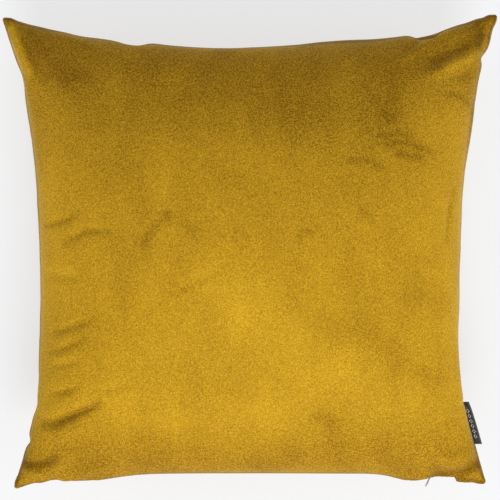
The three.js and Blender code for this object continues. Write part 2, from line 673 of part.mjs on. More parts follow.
piece('zip_bottom_stop', zipBottomStop(), NYLON);
piece('zip_slider_body', sliderBody(), GREY_METAL);
piece('zip_pull_tab', pullTab(), GREY_METAL).position.set(SLIDER_X, ZIP_Y - PIVOT_OUT, SEAM_HEIGHT);
piece('insert_closing_stitch', closingStitch(), SEWING_THREAD);
piece('fibre_filling', filling(), FIBRE);

export default pillow;
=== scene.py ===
"""A square velvet throw pillow with a zipped cover, a side label, an inner case and its filling."""
import math

import bpy
import numpy as np
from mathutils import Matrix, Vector


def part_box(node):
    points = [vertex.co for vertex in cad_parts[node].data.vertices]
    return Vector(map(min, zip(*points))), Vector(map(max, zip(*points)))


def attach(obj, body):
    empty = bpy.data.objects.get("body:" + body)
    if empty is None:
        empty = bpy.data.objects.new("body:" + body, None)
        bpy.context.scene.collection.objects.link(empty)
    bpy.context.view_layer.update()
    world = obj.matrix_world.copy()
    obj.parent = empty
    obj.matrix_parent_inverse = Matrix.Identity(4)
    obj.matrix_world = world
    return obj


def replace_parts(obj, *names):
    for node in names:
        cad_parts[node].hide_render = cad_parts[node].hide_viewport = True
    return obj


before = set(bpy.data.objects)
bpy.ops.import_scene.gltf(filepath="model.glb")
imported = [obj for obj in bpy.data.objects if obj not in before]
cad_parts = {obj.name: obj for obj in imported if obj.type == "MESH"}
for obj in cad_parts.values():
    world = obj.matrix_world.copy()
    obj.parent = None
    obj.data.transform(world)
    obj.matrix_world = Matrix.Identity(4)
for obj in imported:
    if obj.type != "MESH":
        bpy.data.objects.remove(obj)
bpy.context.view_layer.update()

MM = 0.001

# ---- The pillow's own sizes, in metres, as its frame has them -----------------------------------
LOW, HIGH = (np.array(corner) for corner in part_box("cover_front_panel"))
SEAM_Z = 0.064
TOP_Z = HIGH[2]
# where the seam's four corners end
TIP = {
    "top_left": (LOW[0], HIGH[1] - 2.2 * MM),
    "top_right": (HIGH[0], HIGH[1]),
    "bottom_left": (LOW[0] + 11 * MM, LOW[1]),
    "bottom_right": (HIGH[0] - 9.8 * MM, LOW[1] + 4.7 * MM),
}
SIDE_PULL = {"left": 28 * MM, "right": 27.5 * MM, "top": 27 * MM}
ZIP_SIDE_PULL = 12.7 * MM
ZIP_BOW, BOW, CROWN, EDGE = 1.5, 2.5, 2.6, 0.42
REST_SHARE = 0.9
ZIP_Y = LOW[1] + ZIP_SIDE_PULL
TAPE_X = (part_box("zip_tape_front")[0][0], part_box("zip_tape_front")[1][0])
ZONE_X = (TAPE_X[0] - 4 * MM, TAPE_X[1] + 4 * MM)
LABEL_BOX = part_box("side_label")
LABEL_SPAN = (LABEL_BOX[0][1], LABEL_BOX[1][1])
LABEL_OPENING = (LABEL_SPAN[0] - 8 * MM, LABEL_SPAN[1])
SEAM_HALF_GAP, SLIT_HALF, GAP_BLEND = 0.15 * MM, 1.1 * MM, 5 * MM
LABEL_HALF = 0.35 * MM
CLOTH = 1.2 * MM
ALLOWANCE = 11 * MM
LIP_HEIGHT = 8 * MM
FOLD = 0.45 * MM          # how round the cloth turns in at the seam
CUT = 0.45                # each panel is cut from a square this wide

# The cloth near the seam: how far it swells there, and how far in from the seam.
ROLL = {1: 0.8 * MM, -1: 1.9 * MM}
ROLL_REACH = 2.6 * MM
PUCKER, PUCKER_REACH = 0.35 * MM, 9 * MM
FULLNESS = 0.5 * MM
KINK_REACH = 14 * MM
# It bulges out over the zip: (middle and half width in mm, share of the bulge).
BULGE, BULGE_PEAK = 7.0 * MM, 11 * MM
BULGES = [(-148, 36, 1), (147, 22, 1), (183, 11, 0.75), (0, 50, -0.12)]
# Room kept for the slider, in front of the lips and beside them.
SLIDER_HALF, SLIDER_ROOM = 3.3 * MM, 6 * MM

SOFT_LANDING = 1.5 * MM   # height over which the back leaves the floor

# The inner layers: how far in from the seam, and how deep under the velvet.
CASE_INSET, CASE_DEPTH, CASE_CLOTH = 16 * MM, 2.6 * MM, 0.7 * MM
FILL_INSET, FILL_DEPTH, FILL_LUMPS = 28 * MM, 6.5 * MM, 1.0 * MM

CELLS = 70                # cloth cells along a panel's side while it is puffed up
FINER = 3                 # each is then split this many ways
MOST_MOVED = 9 * MM       # the most that the filling moves a point of the cloth


# ---- The plan of a panel --------------------------------------------------------------------------
def lerp(a, b, t):
    return a + (b - a) * t


def smooth(t):
    t = np.clip(t, 0, 1)
    return t * t * (3 - 2 * t)


def bow(u):
    return 1 - np.abs(u) ** BOW


def tip(name, inset):
    x, y = TIP[name]
    return x - math.copysign(1, x) * inset, y - math.copysign(1, y) * inset


def between(low, high, t):
    return lerp(low[0], high[0], t), lerp(low[1], high[1], t)


def side_seam(low, high, pull, inset, v):
    x, y = between(tip(low, inset), tip(high, inset), (v + 1) / 2)
    return x - np.sign(x) * pull * bow(v), y


def top_seam(u, inset):
    x, y = between(tip("top_left", inset), tip("top_right", inset), (u + 1) / 2)
    return x, y - SIDE_PULL["top"] * bow(u)


def zip_seam(u, inset):
    left, right = tip("bottom_left", inset), tip("bottom_right", inset)
    x, y = between(left, right, (u + 1) / 2)
    from_left = (x - left[0]) / (ZONE_X[0] - TIP["bottom_left"][0])
    from_right = (right[0] - x) / (TIP["bottom_right"][0] - ZONE_X[1])
    drawn = 1 - (1 - np.clip(np.minimum(from_left, from_right), 0, 1)) ** ZIP_BOW
    return x, lerp(y, ZIP_Y + inset, drawn)


def plan(u, v, inset=0.0):
    a, b = (u + 1) / 2, (v + 1) / 2
    low, high = zip_seam(u, inset), top_seam(u, inset)
    left = side_seam("bottom_left", "top_left", SIDE_PULL["left"], inset, v)
    right = side_seam("bottom_right", "top_right", SIDE_PULL["right"], inset, v)
    corner_low = between(tip("bottom_left", inset), tip("bottom_right", inset), a)
    corner_high = between(tip("top_left", inset), tip("top_right", inset), a)
    return tuple(
        lerp(low[k], high[k], b) + lerp(left[k], right[k], a) - lerp(corner_low[k], corner_high[k], b)
        for k in (0, 1)
    )


def rise(u):
    return np.maximum(0, 1 - np.abs(u) ** CROWN) ** EDGE


def evenly_spaced(cells=400):
    """A table from even steps of cloth, -1 to 1, to places across the plan."""
    across = np.linspace(0, 1, cells + 1)
    width = HIGH[0] - SIDE_PULL["right"]
    height = 0.95 * (TOP_Z - SEAM_Z) * rise(across)
    steps = np.hypot(np.diff(across) * width, np.diff(height))
    run = np.concatenate([[0], np.cumsum(steps)])
    return run / run[-1], across


CLOTH_RUN, PLAN_RUN = evenly_spaced()


def placed(t):
    """Where a share of the cloth, -1 to 1 from seam to seam, comes to lie across the plan."""
    return np.sign(t) * np.interp(np.abs(t), CLOTH_RUN, PLAN_RUN)


def filled_height(side, u, v, lift=0.0):
    crown = rise(u) * rise(v)
    if side > 0:
        return (TOP_Z - SEAM_Z - lift) * crown
    return (SEAM_Z - lift) * np.minimum(crown / REST_SHARE, 1)


def grid(cells):
    line = np.linspace(-1, 1, cells + 1)
    return np.meshgrid(line, line)


def edge_distance(u, v):
    """How far a point lies from each side of its panel, in metres: left, right, zip side, top."""
    half = CUT / 2
    return [(1 + u) * half, (1 - u) * half, (1 + v) * half, (1 - v) * half]


def within(value, span, blend=GAP_BLEND):
    return np.clip(np.minimum(value - span[0] + blend, span[1] + blend - value) / blend, 0, 1)


def zip_share(u, v):
    return np.where(v > -1 + 1e-9, 0, within(zip_seam(u, 0)[0], ZONE_X))


def label_share(u, v):
    y = lerp(TIP["bottom_right"][1], TIP["top_right"][1], (v + 1) / 2)
    return np.where(u < 1 - 1e-9, 0, within(y, LABEL_OPENING))


def half_gap(u, v):
    """Half the opening between the two panels along the seam."""
    for_label = lerp(SEAM_HALF_GAP, LABEL_HALF + 0.1 * MM, label_share(u, v))
    return lerp(for_label, SLIT_HALF, zip_share(u, v))


# ---- Puffing up the sewn cover --------------------------------------------------------------------
def uneven(u, v, seed, waves=14, shortest=0.03):
    """Soft unevenness of the filling, from a few seeded waves, between about -1 and 1."""
    rng = np.random.default_rng(seed)
    total = np.zeros_like(u)
    for _ in range(waves):
        length = rng.uniform(shortest, 4 * shortest)
        turn = rng.uniform(0, math.pi)
        phase = rng.uniform(0, 2 * math.pi)
        across = (u * math.cos(turn) + v * math.sin(turn)) * CUT / 2
        total += math.sqrt(length / shortest) * np.sin(2 * math.pi * across / length + phase)
    return total / waves


def start_of_panel(side, u, v):
    x, y = plan(placed(u), placed(v))
    inner = np.minimum.reduce(edge_distance(u, v))
    swell = 1.2 * MM * uneven(u, v, 4 + side) * smooth(inner / 0.02)
    return np.stack([x, y, SEAM_Z + side * (filled_height(side, placed(u), placed(v)) + swell)], axis=-1)


def sewn_cover():
    """Both panels as one closed bag, sewn along the seam, with the flat cut as its rest shape."""
    u, v = grid(CELLS)
    rim = (np.abs(u) > 1 - 1e-9) | (np.abs(v) > 1 - 1e-9)
    count = u.size
    numbers = {1: np.arange(count).reshape(u.shape), -1: np.arange(count).reshape(u.shape)}
    inner = np.flatnonzero(~rim.ravel())
    numbers[-1].ravel()[inner] = count + np.arange(len(inner))
    places = {side: start_of_panel(side, u, v).reshape(-1, 3) for side in (1, -1)}
    start = np.vstack([places[1], places[-1][inner]])
    cut = np.stack([u.ravel() * CUT / 2, v.ravel() * CUT / 2, np.full(count, SEAM_Z)], axis=-1)
    lift = np.where(rim.ravel(), 0, 0.5 * MM)[:, None] * np.array([0, 0, 1])
    flat = np.vstack([cut + lift, (cut - lift)[inner]])
    faces = []
    for side in (1, -1):
        n = numbers[side]
        ring = np.stack([n[:-1, :-1], n[:-1, 1:], n[1:, 1:], n[1:, :-1]], axis=-1).reshape(-1, 4)
        faces += (ring if side > 0 else ring[:, ::-1]).tolist()
    mesh = bpy.data.meshes.new("sewn_cover")
    mesh.from_pydata(start.tolist(), [], faces)
    bag = bpy.data.objects.new("sewn_cover", mesh)
    bpy.context.scene.collection.objects.link(bag)
    seam = bag.vertex_groups.new(name="seam")
    seam.add([int(k) for k in np.flatnonzero(rim.ravel())], 1, "REPLACE")
    bag.shape_key_add(name="Basis")
    key = bag.shape_key_add(name="flat_cut")
    key.data.foreach_set("co", flat.ravel())
    key.value = 0
    return bag, numbers, start


def volume_of(mesh):
    mesh.calc_loop_triangles()
    tris = np.empty(len(mesh.loop_triangles) * 3, dtype=np.int64)
    mesh.loop_triangles.foreach_get("vertices", tris)
    co = np.empty(len(mesh.vertices) * 3)
    mesh.vertices.foreach_get("co", co)
    a, b, c = co.reshape(-1, 3)[tris.reshape(-1, 3)].transpose(1, 0, 2)
    return float(np.einsum("ij,ij->i", a, np.cross(b, c)).sum() / 6)


def puffed_panels():
    """The two panels' outer faces, as grids of points, after the filling has pushed them out."""
    bag, numbers, start = sewn_cover()
    cloth = bag.modifiers.new("Cloth", "CLOTH")
    s = cloth.settings
    s.rest_shape_key = bag.data.shape_keys.key_blocks["flat_cut"]
    s.quality = 6
    s.mass = 0.25
    s.tension_stiffness = 40
    s.compression_stiffness = 40
    s.shear_stiffness = 20
    s.bending_stiffness = 2.0
    s.tension_damping = s.compression_damping = s.shear_damping = 8
    s.bending_damping = 0.6
    s.air_damping = 1
    s.vertex_group_mass = "seam"
    s.pin_stiffness = 1
    s.effector_weights.gravity = 0
    s.use_pressure = True
    s.uniform_pressure_force = 2
    s.use_pressure_volume = True
    s.target_volume = 0.97 * volume_of(bag.data)
    cloth.collision_settings.use_collision = False
    cloth.collision_settings.use_self_collision = False
    for step in range(1, 37):
        bpy.context.scene.frame_set(step)
    shaped = bag.evaluated_get(bpy.context.evaluated_depsgraph_get()).to_mesh()
    settled = np.empty(len(shaped.vertices) * 3)
    shaped.vertices.foreach_get("co", settled)
    settled = settled.reshape(-1, 3)
    bpy.context.scene.frame_set(1)
    panels = {}
    for side in (1, -1):
        moved = (settled - start)[numbers[side]]
        far = np.linalg.norm(moved, axis=-1, keepdims=True)
        moved *= np.minimum(1, MOST_MOVED / np.maximum(far, 1e-9))
        panels[side] = start[numbers[side]] + evened(moved, 3)
    bpy.data.objects.remove(bag)
    return panels


def evened(field, passes):
    """A field on the grid, smoothed a little. Its rim stays as it is."""
    for _ in range(passes):
        around = (field[:-2, 1:-1] + field[2:, 1:-1] + field[1:-1, :-2] + field[1:-1, 2:]) / 4
        field = field.copy()
        field[1:-1, 1:-1] = (field[1:-1, 1:-1] + around) / 2
    return field


def through(a, b, c, d, t):
    """A smooth curve from b to c, with a before and d after them."""
    return 0.5 * (2 * b + (c - a) * t + (2 * a - 5 * b + 4 * c - d) * t**2
                  + (3 * b - a - 3 * c + d) * t**3)


def split_finer(points):
    """The same surface through a finer grid, by a smooth curve through each row and column."""
    for _ in range(2):
        before = 2 * points[:1] - points[1:2]
        after = 2 * points[-1:] - points[-2:-1]
        p = np.concatenate([before, points, after])
        rows = [through(p[:-3], p[1:-2], p[2:-1], p[3:], k / FINER) for k in range(FINER)]
        finer = np.stack(rows, axis=1).reshape(-1, *points.shape[1:])
        points = np.concatenate([finer, points[-1:]]).swapaxes(0, 1)
    return points


# ---- Folds, creases and dents ---------------------------------------------------------------------
# A fold is (line through x, y in mm; half width in mm; ridge height in mm; step in mm). A step lifts
# the cloth on the line's left and lowers it on the right.
FRONT_FOLDS = [
    # upper right tip: the strong ridge with its valley above, the second fold and the dent
    ([(213, 186), (192, 173), (166, 160), (148, 153)], 5.5, 3.8, 0.8),
    ([(206, 195), (188, 182), (166, 170), (146, 162)], 7.5, -3.2, 0.0),
    ([(182, 199), (160, 187), (140, 174), (120, 166)], 3.2, 1.8, 1.4),
    ([(172, 199), (158, 193), (146, 191)], 5, -3.4, 0.0),
    ([(206, 206), (207, 198), (208, 190)], 4, -3.2, 0.0),
    ([(202, 168), (192, 160), (180, 154)], 5, -2.0, 0.0),
    ([(150, 186), (142, 178), (132, 168)], 3, -0.8, 0.0),
    ([(175, 140), (186, 142), (196, 132)], 1.8, -0.7, 0.0),
    ([(180, 54), (176, 36), (173, 8)], 2.6, -1.7, 0.0),
    # upper left tip: the light ridge beside the seam and the hollow inside it
    ([(-215, 203), (-206, 184), (-196, 162), (-189, 148)], 3.4, 3.8, 0.0),
    ([(-204, 199), (-195, 180), (-185, 162), (-177, 148)], 5, -3.4, 0.0),
    ([(-192, 195), (-170, 182), (-150, 164), (-132, 150)], 9, -2.4, 0.0),
    ([(-180, 196), (-160, 188), (-130, 178)], 5, 1.4, 0.0),
    ([(-90, 180), (-88, 170), (-85, 159)], 2.2, -0.9, 0.0),
    ([(0, 141), (10, 150), (22, 158)], 3.5, -0.7, 0.0),
    # left side: short creases that rise to the right
    ([(-180, 23), (-166, 27), (-150, 32)], 3.0, -1.9, 0.0),
    ([(-161, 7), (-144, 18), (-124, 17)], 3.6, -1.9, 0.0),
    ([(-182, -17), (-164, -21), (-146, -21)], 5.0, -1.5, 0.0),
    ([(-174, -72), (-154, -65), (-136, -58)], 3.0, -1.9, 0.0),
    ([(-175, -89), (-160, -83), (-144, -76)], 3.0, -1.7, 0.0),
    ([(-178, -102), (-162, -98), (-146, -95)], 3.0, -1.6, 0.0),
    ([(-174, -125), (-162, -122), (-149, -119)], 3.0, -1.8, 0.0),
    ([(-134, -121), (-118, -118), (-100, -113)], 2.6, -0.9, 0.0),
    ([(-184, -154), (-168, -149), (-150, -140), (-128, -132)], 4.0, -3.6, 0.0),
    ([(-180, -164), (-160, -158), (-140, -149)], 6, 1.8, 0.0),
    ([(-186, -142), (-170, -137), (-152, -129)], 6, 1.4, 0.0),
    # lower left tip
    ([(-204, -188), (-188, -189), (-170, -182)], 3.6, -3.2, 0.0),
    ([(-200, -196), (-186, -197), (-170, -194)], 4, 1.2, 0.0),
    ([(-174, -200), (-162, -198), (-140, -193), (-122, -189)], 3.2, 1.8, 1.2),
    ([(-174, -205), (-165, -205), (-152, -203)], 3.6, -2.2, 0.0),
    # lower right tip
    ([(148, -191), (157, -196), (168, -202)], 1.8, -1.0, -1.2),
    ([(160, -196), (176, -198), (192, -196), (210, -186)], 5, -4.2, 0.0),
    ([(165, -179), (182, -184), (201, -177)], 6, 1.8, 0.0),
    ([(181, -139), (190, -135), (196, -130)], 2.2, -0.8, 0.0),
    ([(165, -151), (175, -148), (184, -144)], 2.6, -0.9, 0.0),
    ([(147, -125), (158, -123), (170, -126)], 2, -0.5, 0.0),
]
BACK_FOLDS = [
    ([(210, 188), (186, 170), (160, 150)], 6, 2.6, 0.0),
    ([(200, 194), (178, 180), (150, 168)], 6, -2.4, 0.0),
    ([(-210, 190), (-190, 168), (-168, 152)], 6, 2.2, 0.0),
    ([(-200, 198), (-176, 182), (-150, 172)], 6, -2.0, 0.0),
    ([(-198, -190), (-176, -172), (-150, -158)], 6, 2.6, 0.0),
    ([(-190, -200), (-160, -188), (-132, -180)], 5, -2.0, 0.0),
    ([(200, -190), (178, -172), (156, -150)], 6, 2.4, 0.0),
    ([(190, -198), (166, -186), (140, -178)], 5, -2.0, 0.0),
    ([(-186, 60), (-170, 54), (-156, 50)], 3, -1.2, 0.0),
    ([(-186, -40), (-170, -46), (-154, -48)], 3, -1.4, 0.0),
    ([(186, 80), (172, 74), (156, 72)], 3, -1.2, 0.0),
    ([(188, -60), (172, -56), (158, -50)], 3, -1.4, 0.0),
    ([(-60, 176), (-56, 162), (-48, 150)], 3, -1.2, 0.0),
    ([(70, 178), (64, 164), (60, 150)], 3, -1.2, 0.0),
]
# Small kinks of the seam: (side, place along it in mm, how far it moves out in mm, half width in mm).
SEAM_KINKS = [
    ("top", -106, -3.2, 13), ("top", -101, -1.6, 5), ("top", -88, 0.9, 9), ("top", -25, -1.7, 42),
    ("top", 78, 2.7, 34), ("top", 163, -5.0, 13), ("top", 150, -2.0, 5), ("top", 164, 1.2, 8),
    ("top", 205, 1.2, 7), ("top", 216, 1.6, 4), ("top", -150, -0.8, 14), ("top", -215, 1.2, 4),
    ("right", 175, -2.8, 5), ("right", 188, 1.4, 9), ("right", 110, 2.5, 30), ("right", -112, -6.4, 42),
    ("right", -119, -1.6, 5), ("right", -131, -1.0, 8), ("right", 208, 1.2, 5), ("right", -20, -0.4, 18),
    ("left", 156, -2.6, 16), ("left", -140, -4.2, 32), ("left", -136, -3.0, 4.5), ("left", -150, 1.8, 9),
    ("left", -162, 1.2, 7), ("left", -171, -2.4, 4), ("left", 40, 0.5, 20), ("left", -207, 1.2, 4),
    ("bottom", 191, 5.2, 13), ("bottom", 207, 1.0, 4),
    ("bottom", -186, 1.8, 6), ("bottom", -172, -1.6, 7),
]


def along(points, x, y):
    """For each place: how far it is from a line, to its left if positive, and its share of the way."""
    nearest = np.full(x.shape, 1e9)
    offset = np.zeros_like(x)
    share = np.zeros_like(x)
    for k, ((x0, y0), (x1, y1)) in enumerate(zip(points, points[1:])):
        length = math.hypot(x1 - x0, y1 - y0)
        ex, ey = (x1 - x0) / length, (y1 - y0) / length
        t = np.clip(((x - x0) * ex + (y - y0) * ey) / length, 0, 1)
        dx, dy = x - x0 - t * length * ex, y - y0 - t * length * ey
        distance = np.hypot(dx, dy)
        closer = distance < nearest
        nearest = np.where(closer, distance, nearest)
        offset = np.where(closer, np.where(ex * dy - ey * dx > 0, distance, -distance), offset)
        share = np.where(closer, (k + t) / (len(points) - 1), share)
    return offset, share


def fine_line(points, pieces=8):
    """A smooth line through the given points."""
    p = [2 * np.array(points[0]) - points[1], *map(np.array, points), 2 * np.array(points[-1]) - points[-2]]
    line = [through(a, b, c, d, t) for a, b, c, d in zip(p, p[1:], p[2:], p[3:])
            for t in np.arange(pieces) / pieces]
    return [tuple(q) for q in line] + [tuple(map(float, points[-1]))]


def fold_heights(folds, x, y):
    total = np.zeros_like(x)
    for points, half_width, ridge, step in folds:
        offset, share = along(fine_line(points), x / MM, y / MM)
        taper = lerp(0.15, 1, smooth(share / 0.3) * smooth((1 - share) / 0.3))
        bell = np.exp(-(offset / half_width) ** 2)
        total += (ridge * bell + step * 1.6 * offset / half_width * bell) * taper
    return total * MM


def outward(points, side):
    across = np.gradient(points, axis=1)
    up = np.gradient(points, axis=0)
    out = side * np.cross(across, up)
    return out / np.maximum(np.linalg.norm(out, axis=-1, keepdims=True), 1e-12)


def kinked(points, u, v):
    """Moves the cloth near the seam in and out by the seam's small kinks."""
    x, y = points[..., 0].copy(), points[..., 1].copy()
    distance = dict(zip(("left", "right", "bottom", "top"), edge_distance(u, v)))
    ways = {"left": (-1, 0), "right": (1, 0), "bottom": (0, -1), "top": (0, 1)}
    for side, place, out, half_width in SEAM_KINKS:
        way = ways[side]
        run = y if way[0] else x
        amount = out * MM * np.exp(-((run / MM - place) / half_width) ** 2)
        amount = amount * np.exp(-(distance[side] / KINK_REACH) ** 2)
        points[..., 0] += way[0] * amount
        points[..., 1] += way[1] * amount
    return points


def kink_at(side, run):
    """How far the seam's kinks move it out, at a place along it."""
    return sum(out * MM * math.exp(-((run / MM - place) / half_width) ** 2)
               for kinked_side, place, out, half_width in SEAM_KINKS if kinked_side == side)


def finished_face(side, coarse):
    """A panel's outer face on the fine grid, with its rolled edge, puckers, folds and flat rest."""
    points = split_finer(coarse)
    u, v = grid(CELLS * FINER)
    inner = np.minimum.reduce(edge_distance(u, v))
    points = kinked(points, u, v)
    x, y = points[..., 0], points[..., 1]
    from_zip = edge_distance(u, v)[2]
    near_zip = within(x, ZONE_X, 12 * MM) * (1 - smooth((from_zip - 4 * MM) / (14 * MM)))
    folds = FRONT_FOLDS if side > 0 else BACK_FOLDS
    height = fold_heights(folds, x, y) * smooth(inner / (6 * MM)) * (1 - near_zip)
    roll = ROLL[side] * (inner / ROLL_REACH) * np.exp(1 - inner / ROLL_REACH) * (1 - 0.8 * near_zip)
    pucker = PUCKER * uneven(u, v, 20 + side, 30, 0.008) * np.exp(-inner / PUCKER_REACH)
    pucker *= smooth(inner / (2 * MM)) * (1 - near_zip)
    fullness = FULLNESS * uneven(u, v, 30 + side, 20, 0.03) * smooth(inner / (20 * MM))
    swell = height + roll + pucker + fullness
    points = points + swell[..., None] * outward(points, side)
    bulge = sum(part * np.exp(-((x / MM - middle) / half_width) ** 2) for middle, half_width, part in BULGES)
    out = from_zip / BULGE_PEAK
    points[..., 1] -= BULGE * bulge * out**2 * np.exp(2 - 2 * out)
    opening = half_gap_everywhere(u, v) * (1 - smooth(inner / (7 * MM)))
    points[..., 2] += side * opening
    return kept_clear(points, u, v, side)


def half_gap_everywhere(u, v):
    """The seam's half opening, carried inwards from the nearest side."""
    left, right, low, high = edge_distance(u, v)
    nearest = np.minimum.reduce([left, right, low, high])
    on_u = np.where(nearest == left, -1.0, np.where(nearest == right, 1.0, u))
    on_v = np.where(nearest == low, -1.0, np.where(nearest == high, 1.0, v))
    return half_gap(placed(on_u), placed(on_v)) + FOLD


def kept_clear(points, u, v, side):
    """Holds the cloth off the floor below, above its own seam, and out of the slider's way."""
    off_seam = side * (points[..., 2] - SEAM_Z)
    low = half_gap_everywhere(u, v)
    points[..., 2] = SEAM_Z + side * np.maximum(off_seam, low)
    if side < 0:
        floor = 0.05 * MM
        z = points[..., 2]
        points[..., 2] = np.where(z < floor + SOFT_LANDING, floor + softened(z - floor), z)
    off_seam = np.abs(points[..., 2] - SEAM_Z)
    limit = ZIP_Y - np.clip(off_seam - SLIDER_HALF, 0, None) * 0.8
    in_zone = within(points[..., 0], ZONE_X, 8 * MM)
    limit = np.where(in_zone > 0.5, np.maximum(limit, ZIP_Y - SLIDER_ROOM), -1.0)
    y = np.maximum(points[..., 1], limit)
    points[..., 1] = lerp(points[..., 1], y, in_zone)
    return points


def softened(height):
    """Cloth that would sink into the floor lies on it, and turns up softly where it leaves it."""
    return np.where(height < 0, 0, height**2 / SOFT_LANDING)


# ---- Mesh helpers ---------------------------------------------------------------------------------
class Sheet:
    """Points and quads of a closed piece, built up from nets and loops."""

    def __init__(self):
        self.points, self.faces, self.count = [], [], 0

    def add(self, places):
        places = np.asarray(places).reshape(-1, 3)
        self.points.append(places)
        self.count += len(places)
        return np.arange(self.count - len(places), self.count)

    def net(self, places, facing):
        numbers = self.add(places).reshape(places.shape[:2])
        quads = np.stack([numbers[:-1, :-1], numbers[:-1, 1:], numbers[1:, 1:], numbers[1:, :-1]], axis=-1)
        quads = quads.reshape(-1, 4)
        self.faces += (quads if facing > 0 else quads[:, ::-1]).tolist()
        return rim_of(numbers)

    def strip(self, first, second, facing=1):
        for k in range(len(first)):
            n = (k + 1) % len(first)
            quad = [int(first[k]), int(second[k]), int(second[n]), int(first[n])]
            self.faces.append(quad if facing > 0 else quad[::-1])

    def rail(self, rows):
        """A bar through the given outlines, each first half one side and second half the other."""
        rings = [self.add(row) for row in rows]
        for first, second in zip(rings, rings[1:]):
            self.strip(first, second)
        for ring in (rings[0], rings[-1]):
            for k in range(len(ring) // 2 - 1):
                self.faces.append([int(ring[n]) for n in (k, k + 1, -2 - k, -1 - k)])

    def mesh(self, name):
        mesh = bpy.data.meshes.new(name)
        mesh.from_pydata(np.vstack(self.points).tolist(), [], self.faces)
        mesh.update()
        for polygon in mesh.polygons:
            polygon.use_smooth = True
        return mesh


def rim_of(values):
    """The rim of a grid, anticlockwise from its lower left corner."""
    return np.concatenate([values[0, :-1], values[:-1, -1], values[-1, :0:-1], values[:0:-1, 0]])


def new_piece(name, mesh, material):
    piece = bpy.data.objects.new(name, mesh)
    bpy.context.scene.collection.objects.link(piece)
    mesh.materials.clear()
    mesh.materials.append(material)
    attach(piece, "cover")
    return piece


# ---- Velvet panels --------------------------------------------------------------------------------
# Pile marks, painted shade in creases, painted highlights on ridges: (line through x, y in mm; half width in
# mm; how much darker, 1 the most).
PILE_STROKES_AND_PAINTED_LIGHT = [
    ([(-55, 45), (-85, 8), (-108, -28)], 16, 0.12),
    ([(118, 98), (140, 88), (162, 84)], 14, 0.18), ([(86, 79), (94, 79), (103, 79)], 2.6, 0.36),
    ([(114, 101), (128, 102), (143, 100)], 2.6, 0.30), ([(119, 93), (136, 94), (157, 87)], 2.6, 0.40),
    ([(128, 85), (138, 83), (148, 82)], 2.8, 0.40), ([(118, 119), (120, 117), (122, 115)], 4.5, 0.34),
    ([(108, 75), (110, 74), (112, 73)], 3.6, 0.36), ([(96, 37), (101, 32), (107, 26)], 2.6, 0.34),
    ([(42, 11), (46, 18), (53, 16)], 2.8, 0.36), ([(124, 158), (125, 140), (122, 122)], 9, 0.18),
    ([(180, 54), (176, 36), (173, 8)], 2.6, 0.32), ([(175, 138), (190, 135), (201, 123)], 2.5, 0.28),
    ([(-92, 6), (-82, 20), (-71, 32)], 4.2, 0.34), ([(-71, 32), (-60, 26), (-46, 16)], 5, 0.22),
    ([(-63, -37), (-46, -29), (-28, -19)], 2.6, 0.26), ([(-161, 7), (-144, 18), (-124, 17)], 3.4, 0.28),
    ([(-180, 23), (-166, 27), (-150, 32)], 3, 0.28), ([(-174, -72), (-154, -65), (-136, -58)], 3.2, 0.22),
    ([(-175, -89), (-160, -83), (-144, -76)], 3.2, 0.22),
    ([(-174, -125), (-162, -122), (-149, -119)], 3, 0.26),
    ([(150, -38), (160, -42), (168, -46)], 13, 0.24), ([(150, -106), (156, -110), (162, -114)], 8, 0.25),
    ([(118, -84), (124, -90), (128, -96)], 11, 0.22), ([(60, -142), (66, -145), (72, -146)], 7, 0.28),
    ([(20, 120), (60, 118), (110, 128)], 22, 0.16), ([(-120, 120), (-60, 112), (0, 108)], 28, 0.10),
    ([(60, -60), (80, -70), (96, -66)], 14, 0.14), ([(-40, -20), (-20, -40), (-8, -60)], 18, -0.22),
    ([(-120, -140), (-60, -150), (0, -146)], 24, -0.10), ([(20, -60), (40, -80), (60, -96)], 26, -0.10),
    ([(-110, 80), (-100, 60), (-92, 40)], 12, 0.18), ([(-30, 70), (-16, 62), (0, 60)], 12, 0.14),
    # Painted shade in the tip folds' valleys; the negative ones are painted highlights on their ridges.
    ([(-182, -153), (-160, -146), (-132, -133)], 4.0, 0.60),
    ([(-203, -188), (-188, -189), (-172, -183)], 5, 0.55),
    ([(204, 190), (184, 177), (164, 167)], 6.5, 0.34), ([(205, 203), (206, 190), (205, 184)], 4, 0.60),
    ([(166, -197), (184, -197), (208, -187)], 6, 0.62), ([(-196, 190), (-178, 166), (-160, 150)], 10, 0.40),
    ([(212, 187), (192, 173), (174, 163)], 4, -0.42), ([(-213, 200), (-205, 182), (-195, 160)], 3.2, -0.75),
]


def pile_with_painted_light(x, y):
    """Painted shade to the top, a darker bottom edge, painted highlights at the sides and middle, and darker
    and lighter strokes.
    """
    # Painted shade darkens the top; the bottom edge is darker; painted highlights lighten the right and left
    # sides and a patch below the middle.
    pile_and_painted_light = 0.5 - 0.28 * smooth((y - 0.02) / 0.19) - 0.27 * smooth((-y - 0.13) / 0.06)
    pile_and_painted_light += 0.10 * smooth((x - 0.12) / 0.07) * (1 - smooth((y - 0.08) / 0.08))
    pile_and_painted_light += 0.05 * smooth((-x - 0.15) / 0.04)
    pile_and_painted_light += 0.10 * np.exp(-(((x - 0.01) / 0.12) ** 2 + ((y + 0.07) / 0.08) ** 2))
    # The strokes: pile marks, painted shade along creases and painted highlights on ridges and bands.
    for points, half_width, darker in PILE_STROKES_AND_PAINTED_LIGHT:
        offset = along(fine_line(points, 5), x / MM, y / MM)[0]
        pile_and_painted_light -= 0.5 * darker * np.exp(-(offset / half_width) ** 2)
    return np.clip(pile_and_painted_light, 0, 1)


def turned_edge(u, v, inset, height, side):
    """A line of the cloth that is turned in at the seam."""
    x, y = plan(u, v, inset)
    return np.stack([x, y, SEAM_Z + side * height], axis=-1)


